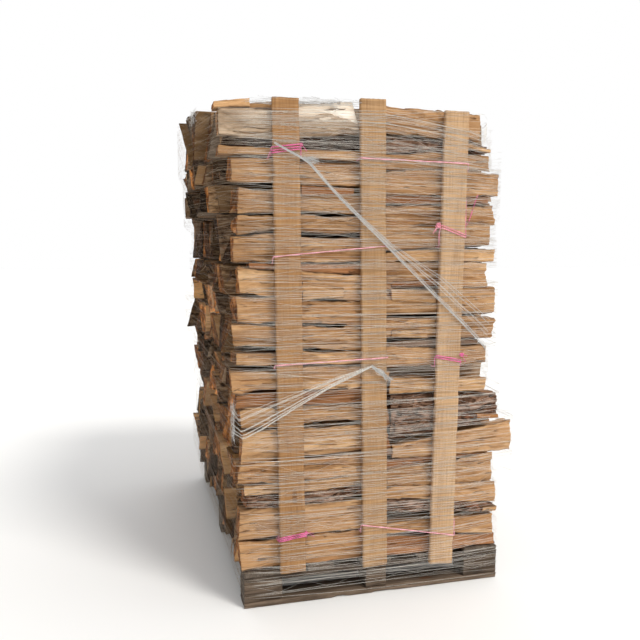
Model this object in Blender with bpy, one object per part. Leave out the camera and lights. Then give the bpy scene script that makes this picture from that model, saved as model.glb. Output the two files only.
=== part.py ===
"""A pallet load of split firewood: a runner pallet, two columns of billets laid in courses,
three upright slats on the front and three on the rear, eight loops of baler twine that tie
the slats to each other through the pile, and a knitted net wound round it all.

Metres, +Z up. The origin is the centre of the pallet's underside, on the middle runner.
The face with the slats that the billets show their sides to is at -Y; the billets run along X,
so their sawn ends are the -X and +X faces.
"""

import math

import bmesh
import bpy
from mathutils import Vector

# ---------------------------------------------------------------- driving dimensions
GAP = 0.0003            # clearance kept between pieces that rest on each other

PALLET_W = 1.000        # along X
PALLET_D = 1.500        # along Y
RUNNER_T = 0.020        # bottom board of each runner
RUNNER_Y = 0.100        # width of runner, block and bearer along Y
BLOCK_H = 0.076
BLOCK_X_OUTER = 0.140   # corner blocks, along X
BLOCK_X_MID = 0.080     # centre blocks, along X
BEARER_T = 0.017
DECK_T = 0.017
DECK_BOARDS = ((-0.430, 0.140), (-0.215, 0.100), (0.000, 0.120), (0.215, 0.100), (0.430, 0.140))

SLAT_W = 0.095
SLAT_T = 0.020
SLAT_BEVEL = 0.0015

TWINE_R = 0.0018
TWINE_SLOT = 0.0060     # height left free where twine runs through the pile
NET_T = 0.0020
NET_STRAND = 0.0070

LEAN = -0.023           # sideways lean of the pile, metres per metre of height
SEAM_L = -0.012         # inner ends of the left column
SEAM_R = (0.034, 0.010)         # inner ends of the right column's lower and upper courses
SEAM_STEP = 7           # number of courses in the right column below that step

BLOCK_Z = RUNNER_T + GAP
BEARER_Z = BLOCK_Z + BLOCK_H + GAP
DECK_Z = BEARER_Z + BEARER_T + GAP
PILE_Z = DECK_Z + DECK_T + GAP
HALF_D = PALLET_D / 2
HALF_W = PALLET_W / 2

# Courses, bottom to top: (top height, outer end of the front billets, front recess).
LEFT = (
    (0.2475, -0.511, 0.002), (0.3635, -0.513, 0.004), (0.5300, -0.519, 0.003),
    (0.6570, -0.503, 0.000), (0.7825, -0.509, 0.006), (0.8720, -0.537, 0.002),
    (1.0285, -0.528, 0.003), (1.1320, -0.517, 0.004), (1.2380, -0.508, 0.001),
    (1.4090, -0.526, 0.004), (1.5995, -0.533, 0.003), (1.7750, -0.575, 0.000),
)
RIGHT = (
    (0.2630, 0.494, 0.004), (0.3915, 0.487, 0.001), (0.5190, 0.473, 0.003),
    (0.6370, 0.552, 0.000), (0.7470, 0.488, 0.005), (0.8550, 0.440, 0.002),
    (0.9550, 0.440, 0.004), (1.0445, 0.465, 0.002), (1.1470, 0.466, 0.000),
    (1.2960, 0.460, 0.004), (1.4715, 0.456, 0.002), (1.5715, 0.468, 0.001),
    (1.7780, 0.428, 0.003),
)
# Boundaries that twine runs through stay level, with a slot between the courses.
TWINE_LEVELS_LEFT = (0.2475, 0.8720, 1.2380, 1.5995)
TWINE_LEVELS_RIGHT = (0.2630, 0.8550, 1.2960, 1.4715, 1.5715)

# Slats: centre X at the bottom and at the top, lowest and highest Z.
SLATS = {
    "left": (-0.324, -0.3505, 0.125, 1.795),
    "middle": (-0.012, -0.039, 0.114, 1.808),
    "right": (0.254, 0.281, 0.092, 1.783),
}


# ---------------------------------------------------------------- helpers
def clear_scene():
    for o in list(bpy.data.objects):
        bpy.data.objects.remove(o, do_unlink=True)
    for group in (bpy.data.meshes, bpy.data.curves, bpy.data.materials):
        for item in list(group):
            group.remove(item)


def material(name, colour, roughness, metallic=0.0):
    m = bpy.data.materials.new(name)
    m.use_nodes = True
    m.diffuse_color = (*colour, 1.0)
    shader = m.node_tree.nodes["Principled BSDF"]
    shader.inputs["Base Color"].default_value = (*colour, 1.0)
    shader.inputs["Roughness"].default_value = roughness
    shader.inputs["Metallic"].default_value = metallic
    return m


def add(name, mesh, mat, location=(0, 0, 0), rotation=(0, 0, 0), parent=None):
    o = bpy.data.objects.new(name, mesh)
    bpy.context.scene.collection.objects.link(o)
    if not mesh.materials:
        mesh.materials.append(mat)
    o.location = location
    o.rotation_euler = rotation
    o.parent = parent
    return o


def board_mesh(name, sx, sy, sz):
    """A sawn board centred on its own origin."""
    bm = bmesh.new()
    bmesh.ops.create_cube(bm, size=1.0)
    bmesh.ops.scale(bm, vec=(sx, sy, sz), verts=bm.verts)
    me = bpy.data.meshes.new(name)
    bm.to_mesh(me)
    bm.free()
    return me


def board(name, centre, size, mat, bevel=0.0, rotation=(0, 0, 0), parent=None):
    o = add(name, board_mesh(name, *size), mat, centre, rotation, parent)
    if bevel:
        b = o.modifiers.new("worn_edges", "BEVEL")
        b.width = bevel
        b.segments = 1
        b.limit_method = "ANGLE"
    return o


def wobble(seed, t):
    """A smooth irregular wave between about -1 and 1."""
    return (
        0.50 * math.sin(2.1 * t * 4.0 + seed * 1.7)
        + 0.30 * math.sin(2.1 * t * 7.3 + seed * 2.9 + 0.6)
        + 0.20 * math.sin(2.1 * t * 12.1 + seed * 4.3 + 1.9)
    )


def step_noise(seed, i):
    """An even spread between 0 and 1 that looks random and is always the same."""
    return abs(math.sin(seed * 12.9898 + i * 78.233) * 43758.5453) % 1.0


# ---------------------------------------------------------------- pallet
def build_pallet(wood):
    root = bpy.data.objects.new("pallet_frame", None)
    bpy.context.scene.collection.objects.link(root)
    rows = (("front", -HALF_D + RUNNER_Y / 2), ("middle", 0.0), ("rear", HALF_D - RUNNER_Y / 2))
    columns = (
        ("left", -HALF_W + BLOCK_X_OUTER / 2, BLOCK_X_OUTER),
        ("centre", 0.0, BLOCK_X_MID),
        ("right", HALF_W - BLOCK_X_OUTER / 2, BLOCK_X_OUTER),
    )
    for row, y in rows:
        board(f"pallet_runner_{row}", (0, y, RUNNER_T / 2), (PALLET_W, RUNNER_Y, RUNNER_T), wood, 0.002, parent=root)
        for side, x, w in columns:
            board(
                f"pallet_block_{row}_{side}", (x, y, BLOCK_Z + BLOCK_H / 2), (w, RUNNER_Y - 0.004, BLOCK_H),
                wood, 0.002, parent=root,
            )
        board(
            f"pallet_bearer_{row}", (0, y, BEARER_Z + BEARER_T / 2), (PALLET_W, RUNNER_Y, BEARER_T), wood, 0.0015,
            parent=root,
        )
    for i, (x, w) in enumerate(DECK_BOARDS, 1):
        board(f"pallet_deck_board_{i}", (x, 0, DECK_Z + DECK_T / 2), (w, PALLET_D, DECK_T), wood, 0.0015, parent=root)


# ---------------------------------------------------------------- pile of billets
STATIONS = (-0.640, -0.600, -0.480, -0.360, -0.240, -0.120, 0.000, 0.120, 0.240, 0.360, 0.480, 0.600)
# The left column's two top courses have slid out behind the front row: their outer ends, by depth.
SLID_COURSES = (10, 11)
SLID = {
    -0.600: -0.600, -0.480: -0.622, -0.360: -0.636, -0.240: -0.645, -0.120: -0.639, 0.000: -0.622,
    0.120: -0.598, 0.240: -0.570,
}


def outer_end(side, courses, k, j):
    """X of the outer end of course k at its depth j."""
    seed = 3.1 if side < 0 else 8.7
    top, front_end, _ = courses[k]
    if j < 2:
        return front_end
    if side < 0 and k in SLID_COURSES and j <= len(STATIONS) and STATIONS[j - 1] in SLID:
        return SLID[STATIONS[j - 1]]
    mid = ((PILE_Z if k == 0 else courses[k - 1][0]) + top) / 2
    return side * 0.500 + LEAN * (mid - PILE_Z) + side * (0.026 * step_noise(seed + k, j) - 0.004)


def boundary(courses, k, levels, y, side_seed):
    """Height of the boundary above course k at depth y. Level where twine runs, at the pallet and at the top."""
    z = courses[k][0]
    if any(abs(z - level) < 1e-6 for level in levels) or k == len(courses) - 1:
        return z
    rise = max(0.0, min(1.0, (y + 0.64) / 0.25))
    return z + 0.011 * rise * wobble(side_seed + k * 1.37, y)


def course_mesh(name, courses, k, levels, side):
    """One course of billets as a solid that reaches the tips of them all: it follows the uneven ends
    on its outer side and the wandering bed joints above and below."""
    seed = 3.1 if side < 0 else 8.7
    top, _, recess = courses[k]
    z_below = PILE_Z if k == 0 else courses[k - 1][0]
    ys = [-HALF_D + recess, *STATIONS, HALF_D - 0.004 * step_noise(seed, k + 40)]
    slot_top = TWINE_SLOT / 2 if any(abs(top - level) < 1e-6 for level in levels) else GAP
    slot_low = TWINE_SLOT / 2 if any(abs(z_below - level) < 1e-6 for level in levels) else GAP
    bm = bmesh.new()
    rings = []
    for j, y in enumerate(ys):
        outer = outer_end(side, courses, k, j)
        inner = SEAM_L if side < 0 else SEAM_R[0 if k < SEAM_STEP else 1]
        hi = boundary(courses, k, levels, y, seed) - slot_top
        lo = (PILE_Z if k == 0 else boundary(courses, k - 1, levels, y, seed) + slot_low)
        left, right = (outer, inner) if side < 0 else (inner, outer)
        rings.append([bm.verts.new(p) for p in ((left, y, lo), (right, y, lo), (right, y, hi), (left, y, hi))])
    bm.faces.new(rings[0])
    bm.faces.new(list(reversed(rings[-1])))
    for a, b in zip(rings, rings[1:]):
        for i in range(4):
            n = (i + 1) % 4
            bm.faces.new((a[i], b[i], b[n], a[n]))
    bmesh.ops.recalc_face_normals(bm, faces=bm.faces)
    me = bpy.data.meshes.new(name)
    bm.to_mesh(me)
    bm.free()
    return me


def build_pile(split, bark):
    for side, courses, levels, word in ((-1, LEFT, TWINE_LEVELS_LEFT, "left"), (1, RIGHT, TWINE_LEVELS_RIGHT, "right")):
        for k in range(len(courses)):
            name = f"firewood_{word}_{k + 1:02d}"
            mat = bark if (word, k) in (("right", 4), ("left", 2)) else split
            add(name, course_mesh(name, courses, k, levels, side), mat)


# ---------------------------------------------------------------- slats
def slat_x(which, z):
    x0, x1, z0, z1 = SLATS[which]
    return x0 + (x1 - x0) * (z - z0) / (z1 - z0)


def build_slats(wood):
    for which, (x0, x1, z0, z1) in SLATS.items():
        length = math.hypot(x1 - x0, z1 - z0)
        tilt = math.atan2(x1 - x0, z1 - z0)
        for face, y in (("front", -1), ("rear", 1)):
            board(
                f"slat_{face}_{which}",
                ((x0 + x1) / 2, y * (HALF_D + 2 * GAP + SLAT_T / 2), (z0 + z1) / 2),
                (SLAT_W, SLAT_T, length), wood, SLAT_BEVEL, rotation=(0, tilt, 0),
            )


# ---------------------------------------------------------------- twine
FACE_Y = HALF_D + 2 * GAP + SLAT_T + 0.0006 + TWINE_R    # centreline of twine lying on a slat
SIDE_Y = HALF_D + 0.011                                   # centreline beside a slat's edge
EDGE = SLAT_W / 2 + 0.0050                                # centreline's distance from a slat's middle

# name: (left slat, Z on its outer edge, Z inside the pile), (right slat, ...)
TIES = {
    "twine_tie_top_left": (("left", 1.629, 1.5995), ("left", 1.642, 1.5995)),
    "twine_tie_top_right": (("middle", 1.604, 1.5995), ("right", 1.598, 1.5715)),
    "twine_tie_upper_left": (("left", 1.262, 1.2380), ("middle", 1.300, 1.2960)),
    "twine_tie_upper_right": (("right", 1.366, 1.2960), ("right", 1.334, 1.4715)),
    "twine_tie_middle_left": (("left", 0.885, 0.8720), ("middle", 0.898, 0.8980)),
    "twine_tie_middle_right": (("right", 0.898, 0.8550), ("right", 0.880, 0.8550)),
    "twine_tie_bottom_left": (("left", 0.254, 0.2475), ("left", 0.266, 0.2475)),
    "twine_tie_bottom_right": (("middle", 0.277, 0.2475), ("right", 0.203, 0.2630)),
}


def tie_points(left, right):
    (ls, lz, lin), (rs, rz, rin) = left, right
    xl = slat_x(ls, lz) - EDGE
    xr = slat_x(rs, rz) + EDGE
    half = []
    # over the front, left to right, then in through the pile on the right
    half += [(xl, -SIDE_Y, lin), (xl, -SIDE_Y, lin + (lz - lin) * 0.75), (xl + 0.0015, -FACE_Y + 0.004, lz)]
    half += [(xl + 0.0070, -FACE_Y, lz), (xr - 0.0070, -FACE_Y, rz)]
    half += [(xr - 0.0015, -FACE_Y + 0.004, rz), (xr, -SIDE_Y, rin + (rz - rin) * 0.75), (xr, -SIDE_Y, rin)]
    half += [(xr, -HALF_D + 0.010, rin)]
    back = [(x, -y, z) for x, y, z in reversed(half)]
    first = (xl, -HALF_D + 0.010, lin)
    return half + back[:-1] + [back[-1], (first[0], HALF_D - 0.010, first[2]), first]


def build_twine(mat):
    for name, (left, right) in TIES.items():
        pts = []
        for p in tie_points(left, right):
            if not pts or (Vector(p) - Vector(pts[-1])).length > 0.0006:
                pts.append(p)
        curve = bpy.data.curves.new(name, "CURVE")
        curve.dimensions = "3D"
        curve.bevel_depth = TWINE_R
        curve.bevel_resolution = 2
        curve.use_fill_caps = True
        s = curve.splines.new("POLY")
        s.points.add(len(pts) - 1)
        for q, p in zip(s.points, pts):
            q.co = (*p, 1.0)
        s.use_cyclic_u = True
        add(name, curve, mat)


# ---------------------------------------------------------------- net
NET_LEVELS = (0.030, 0.250, 0.490, 0.660, 0.880, 1.100, 1.320, 1.540, 1.770)


NET_DEPTHS = (-HALF_D - 0.005, -0.450, -0.150, 0.150, 0.450, HALF_D + 0.005)


def reach(courses, side, z0, z1, y0, y1):
    """How far out this side's courses go between the heights z0 and z1 and the depths y0 and y1."""
    out, below = HALF_W, PILE_Z
    for k, (top, _, _) in enumerate(courses):
        if top > z0 - 0.004 and below < z1 + 0.004:
            for j, y in enumerate((-HALF_D, *STATIONS, HALF_D)):
                if y0 - 0.13 < y < y1 + 0.13:
                    out = max(out, side * outer_end(side, courses, k, j))
        below = top
    return out


def net_ring(i):
    z = NET_LEVELS[i]
    z0 = NET_LEVELS[max(0, i - 1)]
    z1 = NET_LEVELS[min(len(NET_LEVELS) - 1, i + 1)]
    last = len(NET_DEPTHS) - 1
    spans = [(NET_DEPTHS[max(0, j - 1)], NET_DEPTHS[min(last, j + 1)]) for j in range(last + 1)]
    left = [(-reach(LEFT, -1, z0, z1, *span) - 0.004, y) for y, span in zip(NET_DEPTHS, spans)]
    right = [(reach(RIGHT, 1, z0, z1, *span) + 0.004, y) for y, span in zip(NET_DEPTHS, spans)]
    yf = FACE_Y + TWINE_R + 0.0025
    front = [(x, -yf) for x in (-0.420, -0.160, 0.100, 0.360)]
    ring = [left[0], *front, *right, *((x, -y) for x, y in reversed(front)), *reversed(left[1:])]
    return [(x, y, z) for x, y in ring]


def build_net(mat):
    bm = bmesh.new()
    rings = [[bm.verts.new(p) for p in net_ring(i)] for i in range(len(NET_LEVELS))]
    n = len(rings[0])
    for a, b in zip(rings, rings[1:]):
        for i in range(n):
            j = (i + 1) % n
            bm.faces.new((a[i], a[j], b[j], b[i]))
    bmesh.ops.recalc_face_normals(bm, faces=bm.faces)
    cells = list(bm.faces)
    bmesh.ops.inset_individual(bm, faces=cells, thickness=NET_STRAND / 2, use_even_offset=True)
    bmesh.ops.delete(bm, geom=cells, context="FACES")
    me = bpy.data.meshes.new("net_wrap")
    bm.to_mesh(me)
    bm.free()
    o = add("net_wrap", me, mat)
    s = o.modifiers.new("strand", "SOLIDIFY")
    s.thickness = NET_T
    s.offset = 1.0
    s.use_even_offset = False
    return o


# ---------------------------------------------------------------- whole
def main():
    clear_scene()
    split = material("split_wood", (0.55, 0.36, 0.19), 0.85)
    bark = material("bark", (0.20, 0.16, 0.13), 0.95)
    old = material("weathered_pallet_wood", (0.26, 0.20, 0.15), 0.90)
    sawn = material("sawn_slat_wood", (0.58, 0.40, 0.21), 0.75)
    pink = material("pink_baler_twine", (0.80, 0.22, 0.40), 0.50)
    white = material("white_net", (0.85, 0.83, 0.78), 0.45)
    build_pallet(old)
    build_pile(split, bark)
    build_slats(sawn)
    build_twine(pink)
    build_net(white)


main()
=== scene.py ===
"""Looks for the pallet load of split firewood: every billet as its own split and sawn log, weathered
pallet boards, sawn slats, twisted pink twine with its knots, and the white knitted net round it all."""

import math

import bpy
import numpy as np
from mathutils import Matrix, Vector


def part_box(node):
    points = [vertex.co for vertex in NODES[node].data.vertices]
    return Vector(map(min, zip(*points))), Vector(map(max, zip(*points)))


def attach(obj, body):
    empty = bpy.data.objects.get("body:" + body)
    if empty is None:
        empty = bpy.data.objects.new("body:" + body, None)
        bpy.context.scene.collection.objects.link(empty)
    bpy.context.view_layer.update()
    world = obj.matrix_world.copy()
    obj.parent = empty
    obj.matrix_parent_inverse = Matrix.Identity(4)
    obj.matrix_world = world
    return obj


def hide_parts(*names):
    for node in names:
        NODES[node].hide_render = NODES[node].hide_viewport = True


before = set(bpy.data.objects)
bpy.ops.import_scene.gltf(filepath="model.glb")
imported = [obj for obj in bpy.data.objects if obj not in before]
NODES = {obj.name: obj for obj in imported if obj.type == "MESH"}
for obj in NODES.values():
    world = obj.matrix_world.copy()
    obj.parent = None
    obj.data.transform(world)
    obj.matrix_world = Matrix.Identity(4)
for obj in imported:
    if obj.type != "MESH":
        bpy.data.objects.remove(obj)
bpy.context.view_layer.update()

# ------------------------------------------------------------------ camera of the photograph
CAM_POS = np.array([-0.8496, -3.1149, 1.2884])
CAM_YAW, CAM_PITCH, CAM_ROLL, CAM_F = 0.259, 0.1019, 0.0036, 694.677   # F in pixels of a 640 wide frame


def camera_axes():
    cy, sy, cp, sp = math.cos(CAM_YAW), math.sin(CAM_YAW), math.cos(CAM_PITCH), math.sin(CAM_PITCH)
    fwd = np.array([sy * cp, cy * cp, -sp])
    right = np.array([cy, -sy, 0.0])
    up = np.cross(right, fwd)
    cr, sr = math.cos(CAM_ROLL), math.sin(CAM_ROLL)
    return cr * right + sr * up, -sr * right + cr * up, fwd


def ray(u, v):
    r, up, fwd = camera_axes()
    return r * (u - 320) / CAM_F - up * (v - 320) / CAM_F + fwd


def on_front(u, v, y):
    """The point of the plane y = const that is seen at (u, v) of the 640 x 640 frame."""
    d = ray(u, v)
    return CAM_POS + d * ((y - CAM_POS[1]) / d[1])


def on_left(u, v, x):
    d = ray(u, v)
    return CAM_POS + d * ((x - CAM_POS[0]) / d[0])


def make_camera():
    data = bpy.data.cameras.new("camera")
    data.sensor_width = 36.0
    data.lens = CAM_F * 36.0 / 640.0
    data.clip_start, data.clip_end = 0.05, 200
    cam = bpy.data.objects.new("camera", data)
    bpy.context.scene.collection.objects.link(cam)
    r, up, fwd = camera_axes()
    m = Matrix.Identity(4)
    for i in range(3):
        m[i][0], m[i][1], m[i][2], m[i][3] = r[i], up[i], -fwd[i], CAM_POS[i]
    cam.matrix_world = m
    bpy.context.scene.camera = cam


make_camera()


# ------------------------------------------------------------------ noise
def _hash(ix, iy, iz, seed):
    h = (ix * 374761393 + iy * 668265263 + iz * 1442695041 + int(seed) * 1274126177) & 0xFFFFFFFF
    h = ((h ^ (h >> 13)) * 1274126177) & 0xFFFFFFFF
    h = h ^ (h >> 16)
    h = (h * 668265263) & 0xFFFFFFFF
    return (h ^ (h >> 15)) / 4294967295.0


def vnoise(x, y, z=0.0, seed=0):
    """Smooth value noise between -1 and 1."""
    x, y, z = np.broadcast_arrays(np.asarray(x, float), np.asarray(y, float), np.asarray(z, float))
    ix, iy, iz = np.floor(x).astype(np.int64), np.floor(y).astype(np.int64), np.floor(z).astype(np.int64)
    fx, fy, fz = x - ix, y - iy, z - iz
    fx, fy, fz = fx * fx * (3 - 2 * fx), fy * fy * (3 - 2 * fy), fz * fz * (3 - 2 * fz)
    out = 0
    for a in (0, 1):
        for b in (0, 1):
            for c in (0, 1):
                w = (fx if a else 1 - fx) * (fy if b else 1 - fy) * (fz if c else 1 - fz)
                out = out + w * _hash(ix + a, iy + b, iz + c, seed)
    return 2 * out - 1


def fbm(x, y, z=0.0, seed=0, octaves=3):
    total, amp, f = 0, 1.0, 1.0
    for o in range(octaves):
        total = total + amp * vnoise(np.asarray(x) * f, np.asarray(y) * f, np.asarray(z) * f, seed + 17 * o)
        amp *= 0.5
        f *= 2.03
    return total / 1.75


def smooth(a, b, t):
    t = np.clip((t - a) / (b - a), 0, 1)
    return t * t * (3 - 2 * t)


# ------------------------------------------------------------------ meshes
class Bag:
    """Collects the geometry of one joined piece."""

    def __init__(self):
        self.v, self.q, self.t, self.qm, self.tm = [], [], [], [], []
        self.a = {"tint": [], "grain": [], "pith": [], "rim": [], "edge": []}
        self.n = 0

    def add(self, verts, quads=(), tris=(), qm=0, tm=0, tint=(1, 1, 1, 0), grain=None, pith=None, rim=0.0, edge=0.0):
        verts = np.asarray(verts, float)
        n = len(verts)
        self.v.append(verts)
        if len(quads):
            quads = np.asarray(quads, np.int64)
            self.q.append(quads + self.n)
            self.qm.append(np.broadcast_to(np.asarray(qm), (len(quads),)))
        if len(tris):
            tris = np.asarray(tris, np.int64)
            self.t.append(tris + self.n)
            self.tm.append(np.broadcast_to(np.asarray(tm), (len(tris),)))
        self.a["tint"].append(np.broadcast_to(np.asarray(tint, float), (n, 4)))
        self.a["grain"].append(verts if grain is None else np.broadcast_to(grain, (n, 3)))
        self.a["pith"].append(verts if pith is None else np.broadcast_to(pith, (n, 3)))
        self.a["rim"].append(np.broadcast_to(np.asarray(rim, float), (n,)))
        self.a["edge"].append(np.broadcast_to(np.asarray(edge, float), (n,)))
        self.n += n

    def build(self, name, materials, sharp=38, smooth_all=True):
        me = bpy.data.meshes.new(name)
        v = np.concatenate(self.v)
        q = np.concatenate(self.q) if self.q else np.zeros((0, 4), np.int64)
        t = np.concatenate(self.t) if self.t else np.zeros((0, 3), np.int64)
        me.vertices.add(len(v))
        me.vertices.foreach_set("co", v.astype(np.float32).ravel())
        me.loops.add(q.size + t.size)
        me.loops.foreach_set("vertex_index", np.concatenate([q.ravel(), t.ravel()]).astype(np.int32))
        me.polygons.add(len(q) + len(t))
        starts = np.concatenate([np.arange(len(q)) * 4, q.size + np.arange(len(t)) * 3])
        me.polygons.foreach_set("loop_start", starts.astype(np.int32))
        mi = np.concatenate([*(self.qm or [np.zeros(0)]), *(self.tm or [np.zeros(0)])])
        me.polygons.foreach_set("material_index", mi.astype(np.int32))
        me.update(calc_edges=True)
        for key, kind, width, field in (("tint", "FLOAT_COLOR", 4, "color"), ("grain", "FLOAT_VECTOR", 3, "vector"),
                                        ("pith", "FLOAT_VECTOR", 3, "vector"), ("rim", "FLOAT", 1, "value"), ("edge", "FLOAT", 1, "value")):
            att = me.attributes.new(key, kind, "POINT")
            att.data.foreach_set(field, np.concatenate(self.a[key]).astype(np.float32).ravel())
        me.validate()
        me.shade_smooth()
        me.set_sharp_from_angle(angle=math.radians(sharp))
        for m in materials:
            me.materials.append(m)
        o = bpy.data.objects.new(name, me)
        bpy.context.scene.collection.objects.link(o)
        return o


def loft(rings, closed_ring=True):
    """Quads between consecutive rings of n points; ring r has indices r*n .. r*n+n-1."""
    r, n = rings
    i = np.arange(n if closed_ring else n - 1)
    j = (i + 1) % n
    base = np.arange(r - 1)[:, None] * n
    return np.stack([base + i, base + j, base + n + j, base + n + i], -1).reshape(-1, 4)


def frames(p, closed):
    """Two side directions across each point of a polyline."""
    if closed:
        t = np.roll(p, -1, 0) - np.roll(p, 1, 0)
    else:
        t = np.gradient(p, axis=0)
    t /= np.linalg.norm(t, axis=1)[:, None] + 1e-12
    up = np.where(np.abs(t[:, 2:3]) > 0.9, [[1.0, 0, 0]], [[0, 0, 1.0]])
    a = np.cross(t, up)
    a /= np.linalg.norm(a, axis=1)[:, None] + 1e-12
    return t, a, np.cross(a, t)


def tube(bag, p, radius, sides=3, closed=False, mat=0, tint=(1, 1, 1, 0), twist=0.0, flat=1.0, phase=0.0):
    p = np.asarray(p, float)
    t, a, b = frames(p, closed)
    n = len(p)
    radius = np.broadcast_to(np.asarray(radius, float), (n,))
    step = np.r_[0, np.cumsum(np.linalg.norm(np.diff(p, axis=0), axis=1))]
    ang = phase + np.arange(sides) / sides * 2 * math.pi
    turn = twist * step[:, None]
    ca, sa = np.cos(ang)[None, :], np.sin(ang)[None, :] * flat
    c = ca * np.cos(turn) - sa * np.sin(turn)
    s = ca * np.sin(turn) + sa * np.cos(turn)
    v = p[:, None, :] + radius[:, None, None] * (c[:, :, None] * a[:, None, :] + s[:, :, None] * b[:, None, :])
    g = np.zeros((n, sides, 3))
    g[:, :, 0] = step[:, None]
    g[:, :, 1] = ang[None, :] / (2 * math.pi)
    g[:, :, 2] = p[0, 0] * 3.1 + p[0, 2] * 7.7
    quads = loft((n, sides))
    if closed:
        i = np.arange(sides)
        j = (i + 1) % sides
        last = (n - 1) * sides
        quads = np.concatenate([quads, np.stack([last + i, last + j, j, i], -1)])
    tris = []
    if not closed:
        for base, flip in ((0, False), ((n - 1) * sides, True)):
            for k in range(1, sides - 1):
                tri = (base, base + k, base + k + 1)
                tris.append(tri if flip else tri[::-1])
    # faces out: a, b, t is a right-handed set here
    quads = quads[:, ::-1]
    tris = [tr[::-1] for tr in tris]
    bag.add(v.reshape(-1, 3), quads, tris, mat, mat, tint, g.reshape(-1, 3), g.reshape(-1, 3), 0.0)


# ------------------------------------------------------------------ materials
def new_material(name, base, rough):
    m = bpy.data.materials.new(name)
    m.use_nodes = True
    m.diffuse_color = (*base, 1)
    nt = m.node_tree
    p = nt.nodes["Principled BSDF"]
    p.inputs["Base Color"].default_value = (*base, 1)
    p.inputs["Roughness"].default_value = rough
    return m, nt, p


def node(nt, kind, ins=None, **props):
    n = nt.nodes.new(kind)
    for k, v in props.items():
        setattr(n, k, v)
    for k, v in (ins or {}).items():
        s = n.inputs[k]
        if isinstance(v, bpy.types.NodeSocket):
            nt.links.new(v, s)
        else:
            s.default_value = v
    return n


def attr(nt, name, out="Vector"):
    return node(nt, "ShaderNodeAttribute", attribute_name=name).outputs[out]


def math_(nt, op, a, b=0.0, clamp=False):
    return node(nt, "ShaderNodeMath", {0: a, 1: b}, operation=op, use_clamp=clamp).outputs[0]


def vmul(nt, v, s):
    return node(nt, "ShaderNodeVectorMath", {0: v, 1: s}, operation="MULTIPLY").outputs[0]


def noise(nt, v, scale=1.0, detail=4.0, rough=0.55, dist=0.0):
    return node(nt, "ShaderNodeTexNoise", {"Vector": v, "Scale": scale, "Detail": detail, "Roughness": rough, "Distortion": dist}).outputs[0]


def ramp(nt, fac, stops, mode="LINEAR"):
    n = node(nt, "ShaderNodeValToRGB", {0: fac})
    e = n.color_ramp.elements
    while len(e) < len(stops):
        e.new(0.5)
    for el, (pos, col) in zip(e, stops):
        el.position = pos
        el.color = (*col, 1) if len(col) == 3 else col
    n.color_ramp.interpolation = mode
    return n.outputs[0]


def rampf(nt, fac, a, b, lo=0.0, hi=1.0):
    """A number that goes from lo to hi while fac goes from a to b."""
    return node(nt, "ShaderNodeMapRange", {0: fac, 1: a, 2: b, 3: lo, 4: hi}, interpolation_type="SMOOTHSTEP").outputs[0]


def mix(nt, fac, a, b, blend="MIX"):
    n = nt.nodes.new("ShaderNodeMix")
    n.data_type = "RGBA"
    n.blend_type = blend
    for idx, v in ((0, fac), (6, a), (7, b)):
        if isinstance(v, bpy.types.NodeSocket):
            nt.links.new(v, n.inputs[idx])
        else:
            n.inputs[idx].default_value = v if idx == 0 else (*v, 1)
    return n.outputs[2]


def bump(nt, p, height, strength, distance):
    b = node(nt, "ShaderNodeBump", {"Height": height, "Strength": strength, "Distance": distance})
    nt.links.new(b.outputs[0], p.inputs["Normal"])


def length_of(nt, v):
    return node(nt, "ShaderNodeVectorMath", {0: v}, operation="LENGTH").outputs["Value"]


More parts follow.
